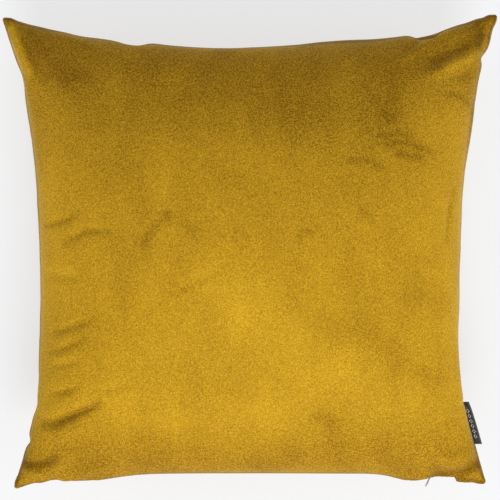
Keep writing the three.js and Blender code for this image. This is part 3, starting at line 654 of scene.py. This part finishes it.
def velvet_panel(name, side, face, material):
    u, v = (placed(rim_of(values)) for values in grid(CELLS * FINER))
    out = outward(face, side)
    inside = face - out * CLOTH
    gap, lip = half_gap(u, v), zip_share(u, v)
    rim = rim_of(face)
    at_seam = turned_edge(u, v, 0, gap, side)
    shift = rim - at_seam
    shift[:, 2] = 0
    width = lerp(ALLOWANCE, 2 * CLOTH, lip)
    turn = lerp(CLOTH, LIP_HEIGHT, lip)
    inner_edge = turned_edge(u, v, lerp(CLOTH, 2 * CLOTH, lip), gap + turn + lip * CLOTH, side) + shift
    inside[0], inside[-1] = inner_edge[: len(face)], inner_edge[2 * len(face) - 2: 3 * len(face) - 2][::-1]
    inside[:, -1] = inner_edge[len(face) - 1: 2 * len(face) - 1]
    inside[:, 0] = np.concatenate([inner_edge[3 * len(face) - 3:], inner_edge[:1]])[::-1]
    sheet = Sheet()
    loops = [sheet.net(face, side)]
    for inset, height in ((0.13 * MM, gap + 0.13 * MM), (0.45 * MM, gap)):
        loops.append(sheet.add(turned_edge(u, v, inset, height, side) + shift))
    loops.append(sheet.add(turned_edge(u, v, width, gap, side) + shift))
    loops.append(sheet.add(turned_edge(u, v, width, gap + turn, side) + shift))
    loops.append(sheet.net(inside, -side))
    for first, second in zip(loops, loops[1:]):
        sheet.strip(first, second, side)
    mesh = sheet.mesh(name)
    places = np.vstack(sheet.points)
    pile_and_painted_light = pile_with_painted_light(places[:, 0], places[:, 1]) if side > 0 else np.full(len(places), 0.5)
    # Painted shade along the seam: the front darkens within a few mm of it, the back over a wider band.
    from_seam = np.minimum.reduce(edge_distance(*(placed(t) for t in grid(CELLS * FINER)))) / MM
    painted_seam_shade = 0.34 * np.exp(-(from_seam / (1.6 if side > 0 else 7.0)) ** 2)
    pile_and_painted_light[: painted_seam_shade.size] -= painted_seam_shade.ravel()
    layer = mesh.attributes.new("pile_and_painted_light", "FLOAT", "POINT")
    layer.data.foreach_set("value", pile_and_painted_light.astype(np.float32))
    return new_piece(name, mesh, material)


# ---- Finishes -------------------------------------------------------------------------------------
class Finish:
    """A material and short ways to add its nodes."""

    def __init__(self, name):
        self.material = bpy.data.materials.new(name)
        self.material.use_nodes = True
        self.tree = self.material.node_tree
        self.shader = self.tree.nodes["Principled BSDF"]
        self.place = self.node("ShaderNodeTexCoord").outputs["Object"]

    def node(self, kind, **settings):
        made = self.tree.nodes.new(kind)
        for key, value in settings.items():
            setattr(made, key, value)
        return made

    def feed(self, socket, value):
        if isinstance(value, bpy.types.NodeSocket):
            self.tree.links.new(value, socket)
        else:
            socket.default_value = value

    def set(self, **values):
        for key, value in values.items():
            self.feed(self.shader.inputs[key.replace("_", " ").title().replace("Ior", "IOR")], value)

    def noise(self, scale, detail=2.0, roughness=0.5, place=None, distortion=0.0):
        made = self.node("ShaderNodeTexNoise")
        self.feed(made.inputs["Vector"], place or self.place)
        for key, value in (("Scale", scale), ("Detail", detail), ("Roughness", roughness),
                           ("Distortion", distortion)):
            made.inputs[key].default_value = value
        return made.outputs["Fac"]

    def bands(self, direction, scale, distortion=0.0):
        made = self.node("ShaderNodeTexWave", wave_type="BANDS", bands_direction=direction)
        self.feed(made.inputs["Vector"], self.place)
        made.inputs["Scale"].default_value = scale
        made.inputs["Distortion"].default_value = distortion
        return made.outputs["Fac"]

    def stretched(self, scale, turn=(0, 0, 0)):
        made = self.node("ShaderNodeMapping")
        self.feed(made.inputs["Vector"], self.place)
        made.inputs["Rotation"].default_value = turn
        made.inputs["Scale"].default_value = scale
        return made.outputs["Vector"]

    def maths(self, operation, a, b=0.0, clamp=False):
        made = self.node("ShaderNodeMath", operation=operation, use_clamp=clamp)
        self.feed(made.inputs[0], a)
        self.feed(made.inputs[1], b)
        return made.outputs[0]

    def ramp(self, value, low, high):
        made = self.node("ShaderNodeMapRange")
        self.feed(made.inputs["Value"], value)
        made.inputs["From Min"].default_value = low
        made.inputs["From Max"].default_value = high
        return made.outputs["Result"]

    def blend(self, share, a, b, kind="MIX"):
        made = self.node("ShaderNodeMix", data_type="RGBA", blend_type=kind)
        self.feed(made.inputs["Factor"], share)
        self.feed(made.inputs[6], a)
        self.feed(made.inputs[7], b)
        return made.outputs[2]

    def bump(self, height, strength, distance, over=None):
        made = self.node("ShaderNodeBump")
        made.inputs["Strength"].default_value = strength
        made.inputs["Distance"].default_value = distance
        self.feed(made.inputs["Height"], height)
        if over is not None:
            self.feed(made.inputs["Normal"], over)
        return made.outputs["Normal"]


def velvet():
    f = Finish("mustard_velvet")
    pile_and_painted_light = f.node("ShaderNodeAttribute", attribute_name="pile_and_painted_light").outputs["Fac"]
    grain = f.noise(900, 2, 0.6)
    pebble = f.noise(680, 2, 0.6, distortion=0.3)
    cloud = f.noise(11, 3, 0.55, f.stretched((1.0, 1.6, 1.0), (0, 0, 0.7)))
    brushed = f.noise(34, 2, 0.5, f.stretched((1.0, 0.45, 1.0), (0, 0, -0.35)))
    shade = 0.0
    layers = ((grain, 0.38, 0.62, 0.42), (pebble, 0.34, 0.66, 0.30), (cloud, 0.3, 0.7, 0.06),
              (brushed, 0.3, 0.7, 0.12))
    for layer, low, high, part in layers:
        shade = f.maths("ADD", shade, f.maths("MULTIPLY", f.ramp(layer, low, high), part))
    # The painted attribute read above brings painted shade and painted highlights into the colour, beside the
    # real grain and pile.
    shade = f.maths("ADD", shade, f.maths("SUBTRACT", pile_and_painted_light, 0.43), clamp=True)
    colour = f.blend(shade, (0.190, 0.088, 0.0012, 1), (0.790, 0.452, 0.020, 1))
    pile = f.bump(pebble, 0.45, 0.9 * MM)
    pile = f.bump(grain, 0.45, 0.5 * MM, pile)
    f.set(base_color=colour, roughness=0.85, normal=pile, sheen_weight=0.34, sheen_roughness=0.32,
          sheen_tint=(1.0, 0.80, 0.36, 1), specular_ior_level=0.10)
    return f.material


def woven_black():
    """Black satin ribbon with a woven row of light lozenges and a grey stripe along its fold."""
    f = Finish("black_woven_ribbon")
    ribbon = f.node("ShaderNodeUVMap", uv_map="ribbon").outputs["UV"]
    parts = f.node("ShaderNodeSeparateXYZ")
    f.feed(parts.inputs[0], ribbon)
    along_it, across_it = parts.outputs["X"], parts.outputs["Y"]
    ribs = f.maths("SINE", f.maths("MULTIPLY", along_it, 2 * math.pi / (0.42 * MM)))
    picks = f.maths("SINE", f.maths("MULTIPLY", across_it, 2 * math.pi / (0.30 * MM)))
    weave = f.maths("ADD", f.maths("MULTIPLY", f.maths("MULTIPLY", ribs, picks), 0.5), 0.5, clamp=True)
    step = f.maths("DIVIDE", along_it, 4.6 * MM)
    off_middle = f.maths("ABSOLUTE", f.maths("SUBTRACT", f.maths("FRACT", step), 0.5))
    height = f.maths("ABSOLUTE", f.maths("DIVIDE", f.maths("SUBTRACT", across_it, 3.9 * MM), 4.2 * MM))
    reach = f.maths("ADD", f.maths("MULTIPLY", off_middle, 2.0), f.maths("MULTIPLY", height, 2.2))
    ring = f.maths("MULTIPLY", f.maths("GREATER_THAN", reach, 0.52), f.maths("LESS_THAN", reach, 0.88))
    in_run = f.maths("MULTIPLY", f.maths("GREATER_THAN", along_it, 5.0 * MM),
                     f.maths("LESS_THAN", along_it, 33.0 * MM))
    light = f.maths("MULTIPLY", ring, in_run)
    stripe = f.maths("GREATER_THAN", across_it, 6.4 * MM)
    ground = f.blend(weave, (0.008, 0.008, 0.009, 1), (0.026, 0.026, 0.029, 1))
    grey = f.blend(weave, (0.035, 0.035, 0.037, 1), (0.085, 0.085, 0.088, 1))
    pale = f.blend(weave, (0.30, 0.30, 0.30, 1), (0.62, 0.62, 0.60, 1))
    f.set(base_color=f.blend(light, f.blend(stripe, ground, grey), pale), roughness=0.6,
          sheen_weight=0.1, normal=f.bump(weave, 0.5, 0.12 * MM))
    return f.material


def twisted_thread(name, dark, light):
    f = Finish(name)
    ply = f.bands("DIAGONAL", 700, 2)
    f.set(base_color=f.blend(ply, dark, light), roughness=0.6, sheen_weight=0.2,
          normal=f.bump(ply, 0.4, 0.1 * MM))
    return f.material


def woven_cloth(name, dark, light, threads):
    """A plain weave, with threads to the metre."""
    f = Finish(name)
    weave = f.maths("MULTIPLY", *(f.bands(way, threads / 3.2, 0.6) for way in ("X", "Y")))
    soft = f.maths("MULTIPLY", f.noise(24, 3), 0.5)
    f.set(base_color=f.blend(f.maths("ADD", weave, soft, clamp=True), dark, light), roughness=0.9,
          sheen_weight=0.1, normal=f.bump(weave, 0.4, 0.2 * MM))
    return f.material


def satin_ribbon():
    f = Finish("white_satin_ribbon")
    lines = f.bands("Y", 700)
    f.set(base_color=f.blend(lines, (0.70, 0.70, 0.68, 1), (0.86, 0.86, 0.84, 1)),
          roughness=0.38, sheen_weight=0.15, normal=f.bump(lines, 0.25, 0.08 * MM))
    return f.material


def coil_nylon():
    f = Finish("mustard_nylon")
    cloud = f.noise(260, 2)
    f.set(base_color=f.blend(cloud, (0.34, 0.20, 0.03, 1), (0.50, 0.31, 0.06, 1)), roughness=0.35,
          normal=f.bump(cloud, 0.1, 0.05 * MM))
    return f.material


def grey_metal():
    f = Finish("grey_zip_metal")
    streaks = f.noise(900, 3, 0.6, f.stretched((0.12, 1, 1)))
    wear = f.noise(380, 2)
    f.set(base_color=f.blend(wear, (0.30, 0.30, 0.31, 1), (0.52, 0.52, 0.53, 1)), metallic=0.9,
          roughness=f.maths("ADD", f.maths("MULTIPLY", streaks, 0.25), 0.22),
          normal=f.bump(streaks, 0.2, 0.04 * MM))
    return f.material


def loose_fibre():
    f = Finish("white_fibre")
    tangle = f.noise(300, 4, 0.7, distortion=2.0)
    clump = f.noise(45, 3)
    share = f.maths("MULTIPLY", tangle, clump, clamp=True)
    f.set(base_color=f.blend(share, (0.74, 0.73, 0.70, 1), (0.90, 0.90, 0.88, 1)), roughness=1.0,
          sheen_weight=0.3, normal=f.bump(tangle, 0.8, 1.5 * MM))
    return f.material


# ---- Rules for what repeats: the zip coil and the stitches ----------------------------------------
class Rule:
    """A geometry node tree with named inputs, run once and turned into a plain mesh."""

    def __init__(self, name):
        self.tree = bpy.data.node_groups.new(name, "GeometryNodeTree")
        self.tree.interface.new_socket("Geometry", in_out="INPUT", socket_type="NodeSocketGeometry")
        self.tree.interface.new_socket("Geometry", in_out="OUTPUT", socket_type="NodeSocketGeometry")
        self.entry = self.tree.nodes.new("NodeGroupInput")
        self.values = {}

    def input(self, name, value, kind="NodeSocketFloat"):
        socket = self.tree.interface.new_socket(name, in_out="INPUT", socket_type=kind)
        self.values[socket.identifier] = value
        return self.entry.outputs[name]

    def node(self, kind, feeds=None, **settings):
        made = self.tree.nodes.new(kind)
        for key, value in settings.items():
            setattr(made, key, value)
        for key, value in (feeds or {}).items():
            if isinstance(value, bpy.types.NodeSocket):
                self.tree.links.new(value, made.inputs[key])
            else:
                made.inputs[key].default_value = value
        return made

    def made_of(self, geometry, material, start, name):
        """Ends the tree, runs it on the start mesh and returns the result as a plain mesh."""
        real = self.node("GeometryNodeRealizeInstances", {0: geometry})
        painted = self.node("GeometryNodeSetMaterial", {"Geometry": real.outputs[0]})
        painted.inputs["Material"].default_value = material
        exit_node = self.tree.nodes.new("NodeGroupOutput")
        self.tree.links.new(painted.outputs[0], exit_node.inputs[0])
        maker = bpy.data.objects.new(name + "_maker", start)
        bpy.context.scene.collection.objects.link(maker)
        run = maker.modifiers.new("rule", "NODES")
        run.node_group = self.tree
        for identifier, value in self.values.items():
            run[identifier] = value
        maker.update_tag()
        bpy.context.view_layer.update()
        seen = maker.evaluated_get(bpy.context.evaluated_depsgraph_get())
        mesh = bpy.data.meshes.new_from_object(seen)
        maker.modifiers.remove(run)
        bpy.data.objects.remove(maker)
        mesh.name = name
        for polygon in mesh.polygons:
            polygon.use_smooth = True
        return mesh


def line_mesh(points, name="line"):
    mesh = bpy.data.meshes.new(name)
    mesh.from_pydata([tuple(map(float, p)) for p in points], [(k, k + 1) for k in range(len(points) - 1)], [])
    return mesh


def coil_mesh(name, low, high, material, pitch=1.45 * MM, wire=0.26 * MM):
    """The nylon coil of one side of the zip: a wire wound round a line along X."""
    rule = Rule(name + "_rule")
    radius = (high[2] - low[2]) / 2 - wire
    length = high[0] - low[0] - 2 * wire
    spiral = rule.node("GeometryNodeCurveSpiral", {
        "Resolution": 9,
        "Rotations": rule.input("Turns", float(length / pitch)),
        "Start Radius": rule.input("Radius", float(radius)),
        "End Radius": float(radius),
        "Height": rule.input("Length", float(length)),
    })
    ring = rule.node("GeometryNodeCurvePrimitiveCircle", {
        "Resolution": 6, "Radius": rule.input("Wire Radius", float(wire))})
    wound = rule.node("GeometryNodeCurveToMesh", {
        "Curve": spiral.outputs[0], "Profile Curve": ring.outputs[0], "Fill Caps": True})
    middle = [(low[k] + high[k]) / 2 for k in range(3)]
    laid = rule.node("GeometryNodeTransform", {
        "Geometry": wound.outputs[0],
        "Translation": (low[0] + wire, middle[1], middle[2]),
        "Rotation": (0, math.pi / 2, 0),
    })
    return rule.made_of(laid.outputs[0], material, line_mesh([(0, 0, 0), (0, 0, 1 * MM)]), name)


def stitch_mesh(name, path, material, length, gap, thread, rise, seed):
    """A row of stitches along a path: each a short bowed piece of thread."""
    rule = Rule(name + "_rule")
    size = rule.input("Stitch Length", length)
    pitch = rule.input("Pitch", length + gap)
    half = rule.node("ShaderNodeMath", {0: size, 1: 0.5}, operation="MULTIPLY").outputs[0]
    back = rule.node("ShaderNodeMath", {0: size, 1: -0.5}, operation="MULTIPLY").outputs[0]
    ends = [rule.node("ShaderNodeCombineXYZ", {"X": x}).outputs[0] for x in (back, half)]
    top = rule.node("ShaderNodeCombineXYZ", {"Z": rule.input("Rise", 2 * rise)}).outputs[0]
    bend = rule.node("GeometryNodeCurveQuadraticBezier", {
        "Resolution": 5, "Start": ends[0], "Middle": top, "End": ends[1]})
    return repeated(rule, name, path, material, bend.outputs[0], pitch, thread, seed, 5)


def loop_mesh(name, path, material, reach, height, pitch, thread, seed):
    """Overlocking: loops of thread round a cut edge, one after another along it."""
    rule = Rule(name + "_rule")
    ring = rule.node("GeometryNodeCurvePrimitiveCircle", {"Resolution": 12, "Radius": 1.0})
    size = rule.node("ShaderNodeCombineXYZ", {
        "X": rule.input("Height", height), "Y": rule.input("Reach", reach), "Z": 1.0})
    loop = rule.node("GeometryNodeTransform", {
        "Geometry": ring.outputs[0], "Scale": size.outputs[0]})
    stood = rule.node("GeometryNodeTransform", {
        "Geometry": loop.outputs[0], "Rotation": (0, math.pi / 2, 0.22)})
    return repeated(rule, name, path, material, stood.outputs[0], rule.input("Pitch", pitch), thread, seed, 4)


def repeated(rule, name, path, material, curve, pitch, thread, seed, sides):
    ring = rule.node("GeometryNodeCurvePrimitiveCircle", {
        "Resolution": sides, "Radius": rule.input("Thread Radius", thread / 2)})
    piece = rule.node("GeometryNodeCurveToMesh", {
        "Curve": curve, "Profile Curve": ring.outputs[0], "Fill Caps": True})
    line = rule.node("GeometryNodeMeshToCurve", {"Mesh": rule.entry.outputs[0]})
    points = rule.node("GeometryNodeCurveToPoints", {"Curve": line.outputs[0], "Length": pitch},
                       mode="LENGTH")
    turned = rule.node("FunctionNodeAlignRotationToVector", {"Vector": points.outputs["Tangent"]},
                       axis="X", pivot_axis="Z")
    uneven_turn = rule.node("FunctionNodeRandomValue", {
        "Seed": rule.input("Seed", seed, "NodeSocketInt")}, data_type="FLOAT_VECTOR")
    uneven_turn.inputs["Min"].default_value = (-0.05, -0.05, -0.09)
    uneven_turn.inputs["Max"].default_value = (0.05, 0.05, 0.09)
    both = rule.node("FunctionNodeRotateRotation", {
        "Rotation": turned.outputs[0], "Rotate By": uneven_turn.outputs[0]}, rotation_space="LOCAL")
    many = rule.node("GeometryNodeInstanceOnPoints", {
        "Points": points.outputs["Points"], "Instance": piece.outputs[0], "Rotation": both.outputs[0]})
    return rule.made_of(many.outputs[0], material, line_mesh(path), name)


# ---- Label, zip and inner pieces ------------------------------------------------------------------
def side_label(material):
    """A folded ribbon held in the seam: both its layers and the round fold at its outer edge."""
    half, apart, radius = 0.15 * MM, 0.19 * MM, 0.19 * MM
    tuck, proud = 6.0 * MM, 8.0 * MM - radius - half
    outs = np.linspace(-tuck, proud, 26)
    bend = np.linspace(math.pi / 2, -math.pi / 2, 9)[1:-1]
    middle = [(out, apart) for out in outs]
    middle += [(proud + radius * math.cos(a), radius * math.sin(a)) for a in bend]
    middle += [(out, -apart) for out in outs[::-1]]
    middle = np.array(middle)
    outline = thickened(middle, half)
    across = np.concatenate([middle[:, 0], middle[::-1, 0]])
    steps = np.linspace(0, 1, 61)
    rows = []
    for t in steps:
        y = lerp(LABEL_SPAN[0], LABEL_SPAN[1], t)
        v = 2 * (y - TIP["bottom_right"][1]) / (TIP["top_right"][1] - TIP["bottom_right"][1]) - 1
        seam = side_seam("bottom_right", "top_right", SIDE_PULL["right"], 0, v)
        x = seam[0] + kink_at("right", y)
        curl = 0.35 * MM * np.sin(math.pi * t) * np.maximum(outline[:, 0] / proud, 0) ** 2
        rows.append(np.stack([x + outline[:, 0], np.full(len(outline), y),
                              SEAM_Z + outline[:, 1] + curl], axis=-1))
    sheet = Sheet()
    sheet.rail(rows)
    mesh = sheet.mesh("woven_side_label")
    facing_out(mesh)
    layer = mesh.uv_layers.new(name="ribbon")
    run = np.repeat(steps * (LABEL_SPAN[1] - LABEL_SPAN[0]), len(outline))
    out = np.tile(across, len(steps))
    for loop in mesh.loops:
        layer.data[loop.index].uv = (run[loop.vertex_index], out[loop.vertex_index])
    label = new_piece("woven_side_label", mesh, material)
    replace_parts(label, "side_label")


def thickened(line, half):
    """The outline of a ribbon that follows a line: one side out, the other back."""
    way = np.gradient(line, axis=0)
    way /= np.linalg.norm(way, axis=1, keepdims=True)
    normal = np.stack([-way[:, 1], way[:, 0]], axis=1) * half
    return np.concatenate([line + normal, (line - normal)[::-1]])


def facing_out(mesh):
    """Turns every face of a closed mesh outwards."""
    import bmesh
    work = bmesh.new()
    work.from_mesh(mesh)
    bmesh.ops.recalc_face_normals(work, faces=work.faces)
    work.to_mesh(mesh)
    work.free()


def care_label(material):
    """The white ribbon sewn to the left seam's allowance, that climbs between cover and case."""
    low, high = (np.array(c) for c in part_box("care_label"))
    route = [(low[0], low[2] + 0.2 * MM), (low[0] + 6.4 * MM, low[2] + 0.2 * MM),
             (low[0] + 8.0 * MM, low[2] + 5 * MM), (low[0] + 11.0 * MM, low[2] + 0.55 * (high[2] - low[2])),
             (high[0] - 0.4 * MM, high[2] - 0.6 * MM)]
    line = np.array(fine_line(route, 6))
    outline = thickened(line, 0.16 * MM)
    sheet = Sheet()
    sheet.rail([np.stack([outline[:, 0], np.full(len(outline), y), outline[:, 1]], axis=-1)
                for y in np.linspace(low[1], high[1], 13)])
    mesh = sheet.mesh("care_ribbon")
    facing_out(mesh)
    label = new_piece("care_ribbon", mesh, material)
    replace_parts(label, "care_label")


def stitched(name, stands_for, thread, length, gap, width, seed):
    """A row of stitches along the middle of the room that its solid has in the frame."""
    low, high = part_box(stands_for)
    middle = [(low[k] + high[k]) / 2 for k in range(3)]
    path = [(x, middle[1], middle[2]) for x in np.linspace(low[0], high[0], 12)]
    mesh = stitch_mesh(name, path, thread, length, gap, width, 0.05 * MM, seed)
    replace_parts(new_piece(name, mesh, thread), stands_for)


def sewing(thread, case_thread):
    for name in ("front", "back"):
        stitched(f"tape_stitches_{name}", f"zip_thread_{name}", thread,
                 2.3 * MM, 0.5 * MM, 0.45 * MM, 3)
    stitched("case_closing_stitches", "insert_closing_stitch", case_thread,
             2.9 * MM, 0.6 * MM, 0.5 * MM, 5)
    u, v = (placed(rim_of(values)) for values in grid(CELLS * FINER))
    open_part = np.flatnonzero(zip_share(u, v) > 0)
    first = open_part[-1] + 1
    order = np.arange(first, first + len(u) - len(open_part)) % len(u)
    x, y = plan(u[order], v[order], ALLOWANCE - 2.0 * MM)
    path = np.stack([x, y, np.full(len(x), SEAM_Z)], axis=-1)[2:-2]
    mesh = loop_mesh("overlock_stitches", path, thread, 2.8 * MM, 1.75 * MM, 2.6 * MM, 0.4 * MM, 7)
    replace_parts(new_piece("overlock_stitches", mesh, thread), "overlock_thread")


def zip_fastener(nylon, metal, tape):
    for name in ("front", "back"):
        low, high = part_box(f"zip_coil_{name}")
        mesh = coil_mesh(f"nylon_coil_{name}", low, high, nylon)
        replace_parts(new_piece(f"nylon_coil_{name}", mesh, nylon), f"zip_coil_{name}")
        finish_node(f"zip_tape_{name}", tape)
        finish_node(f"zip_top_stop_{name}", metal)
    for name in ("zip_bottom_stop", "zip_slider_body", "zip_pull_tab"):
        finish_node(name, metal)


def finish_node(name, material):
    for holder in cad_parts[name].material_slots:
        holder.material = material


def sampled(values, u, v):
    """A grid's values between its points, at shares u and v."""
    cells = values.shape[0] - 1
    a, b = (np.clip((t + 1) / 2 * cells, 0, cells - 1e-6) for t in (u, v))
    i, j = a.astype(int), b.astype(int)
    s, t = (a - i)[..., None], (b - j)[..., None]
    low = lerp(values[j, i], values[j, i + 1], s)
    return lerp(low, lerp(values[j + 1, i], values[j + 1, i + 1], s), t)


def inner_layer(side, face, inset, depth, lumps, seed):
    """A layer inside the cover, inset from the seam and at a depth under the cloth."""
    u, v = grid(CELLS)
    near = 1 - 2 * inset / CUT
    under = face - outward(face, side) * depth
    points = sampled(under, u * near, v * near)
    plan_x, plan_y = plan(placed(u), placed(v), inset)
    to_rim = (1 - np.abs(u) ** 10) * (1 - np.abs(v) ** 10)
    points[..., 0] = lerp(plan_x, points[..., 0], to_rim)
    points[..., 1] = lerp(plan_y, points[..., 1], to_rim)
    height = np.maximum(side * (points[..., 2] - SEAM_Z), 0) * np.sqrt(to_rim)
    height -= lumps * (1 + uneven(u, v, seed, 24, 0.02)) * to_rim
    points[..., 2] = SEAM_Z + side * np.maximum(height, 0.15 * MM)
    return points


def insert_case(side, name, face, material):
    outer = inner_layer(side, face, CASE_INSET, CASE_DEPTH, 0, 0)
    inside = outer - outward(outer, side) * CASE_CLOTH
    inside[..., 2] = SEAM_Z + side * np.maximum(side * (inside[..., 2] - SEAM_Z), 0.9 * MM)
    sheet = Sheet()
    sheet.strip(sheet.net(outer, side), sheet.net(inside, -side), side)
    case = new_piece(name, sheet.mesh(name), material)
    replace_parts(case, "insert_case_front" if side > 0 else "insert_case_back")


def fibre_fill(both, material):
    sheet = Sheet()
    top = sheet.net(inner_layer(1, both[1], FILL_INSET, FILL_DEPTH, FILL_LUMPS, 61), 1)
    bottom = sheet.net(inner_layer(-1, both[-1], FILL_INSET, FILL_DEPTH, FILL_LUMPS, 62), -1)
    sheet.strip(top, bottom, 1)
    filling = new_piece("fibre_fill", sheet.mesh("fibre_fill"), material)
    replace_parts(filling, "fibre_filling")


# ---- Camera, light and floor ----------------------------------------------------------------------
def studio():
    scene = bpy.context.scene
    scene.view_settings.view_transform = "Standard"
    lens = bpy.data.cameras.new("camera")
    lens.lens = 128
    lens.sensor_width = 36
    camera = bpy.data.objects.new("camera", lens)
    camera.location = (0.00045, 0.0016, SEAM_Z + 1.6)
    scene.collection.objects.link(camera)
    scene.camera = camera
    area_light("main_light", (0.35, -2.7, 2.0), 1.5, 78)
    area_light("side_light_left", (-2.6, 0.3, 1.3), 1.6, 10)
    area_light("side_light_right", (2.6, 0.2, 1.3), 1.6, 12)
    world = bpy.data.worlds.new("studio")
    world.use_nodes = True
    world.node_tree.nodes["Background"].inputs["Color"].default_value = (1, 1, 1, 1)
    world.node_tree.nodes["Background"].inputs["Strength"].default_value = 0.50
    scene.world = world
    half = 4.0
    mesh = bpy.data.meshes.new("floor")
    corners = [(-half, -half, 0), (half, -half, 0), (half, half, 0), (-half, half, 0)]
    mesh.from_pydata(corners, [], [(0, 1, 2, 3)])
    floor = bpy.data.objects.new("floor", mesh)
    scene.collection.objects.link(floor)
    paper = Finish("pale_paper")
    paper.set(base_color=(0.30, 0.305, 0.315, 1), roughness=0.9, emission_color=(0.98, 0.99, 1.0, 1),
              emission_strength=0.63)
    mesh.materials.append(paper.material)


def area_light(name, place, size, power):
    lamp = bpy.data.lights.new(name, "AREA")
    lamp.shape = "DISK"
    lamp.size = size
    lamp.energy = power
    light = bpy.data.objects.new(name, lamp)
    light.location = place
    light.rotation_euler = (Vector((0, 0, 0.05)) - Vector(place)).to_track_quat("-Z", "Y").to_euler()
    bpy.context.scene.collection.objects.link(light)


# ---- Making it ------------------------------------------------------------------------------------
studio()
VELVET = velvet()
puffed = puffed_panels()
faces = {side: finished_face(side, puffed[side]) for side in (1, -1)}
front = velvet_panel("velvet_front", 1, faces[1], VELVET)
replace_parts(front, "cover_front_panel")
back = velvet_panel("velvet_back", -1, faces[-1], VELVET)
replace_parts(back, "cover_back_panel")
side_label(woven_black())
care_label(satin_ribbon())
zip_fastener(
    coil_nylon(),
    grey_metal(),
    woven_cloth("mustard_tape", (0.20, 0.115, 0.012, 1), (0.42, 0.26, 0.035, 1), 1800),
)
sewing(
    twisted_thread("mustard_thread", (0.30, 0.17, 0.015, 1), (0.52, 0.32, 0.04, 1)),
    twisted_thread("white_thread", (0.70, 0.69, 0.66, 1), (0.88, 0.87, 0.84, 1)),
)
cotton = woven_cloth("white_cotton", (0.66, 0.64, 0.60, 1), (0.86, 0.85, 0.82, 1), 2200)
insert_case(1, "case_front", faces[1], cotton)
insert_case(-1, "case_back", faces[-1], cotton)
fibre_fill(faces, loose_fibre())
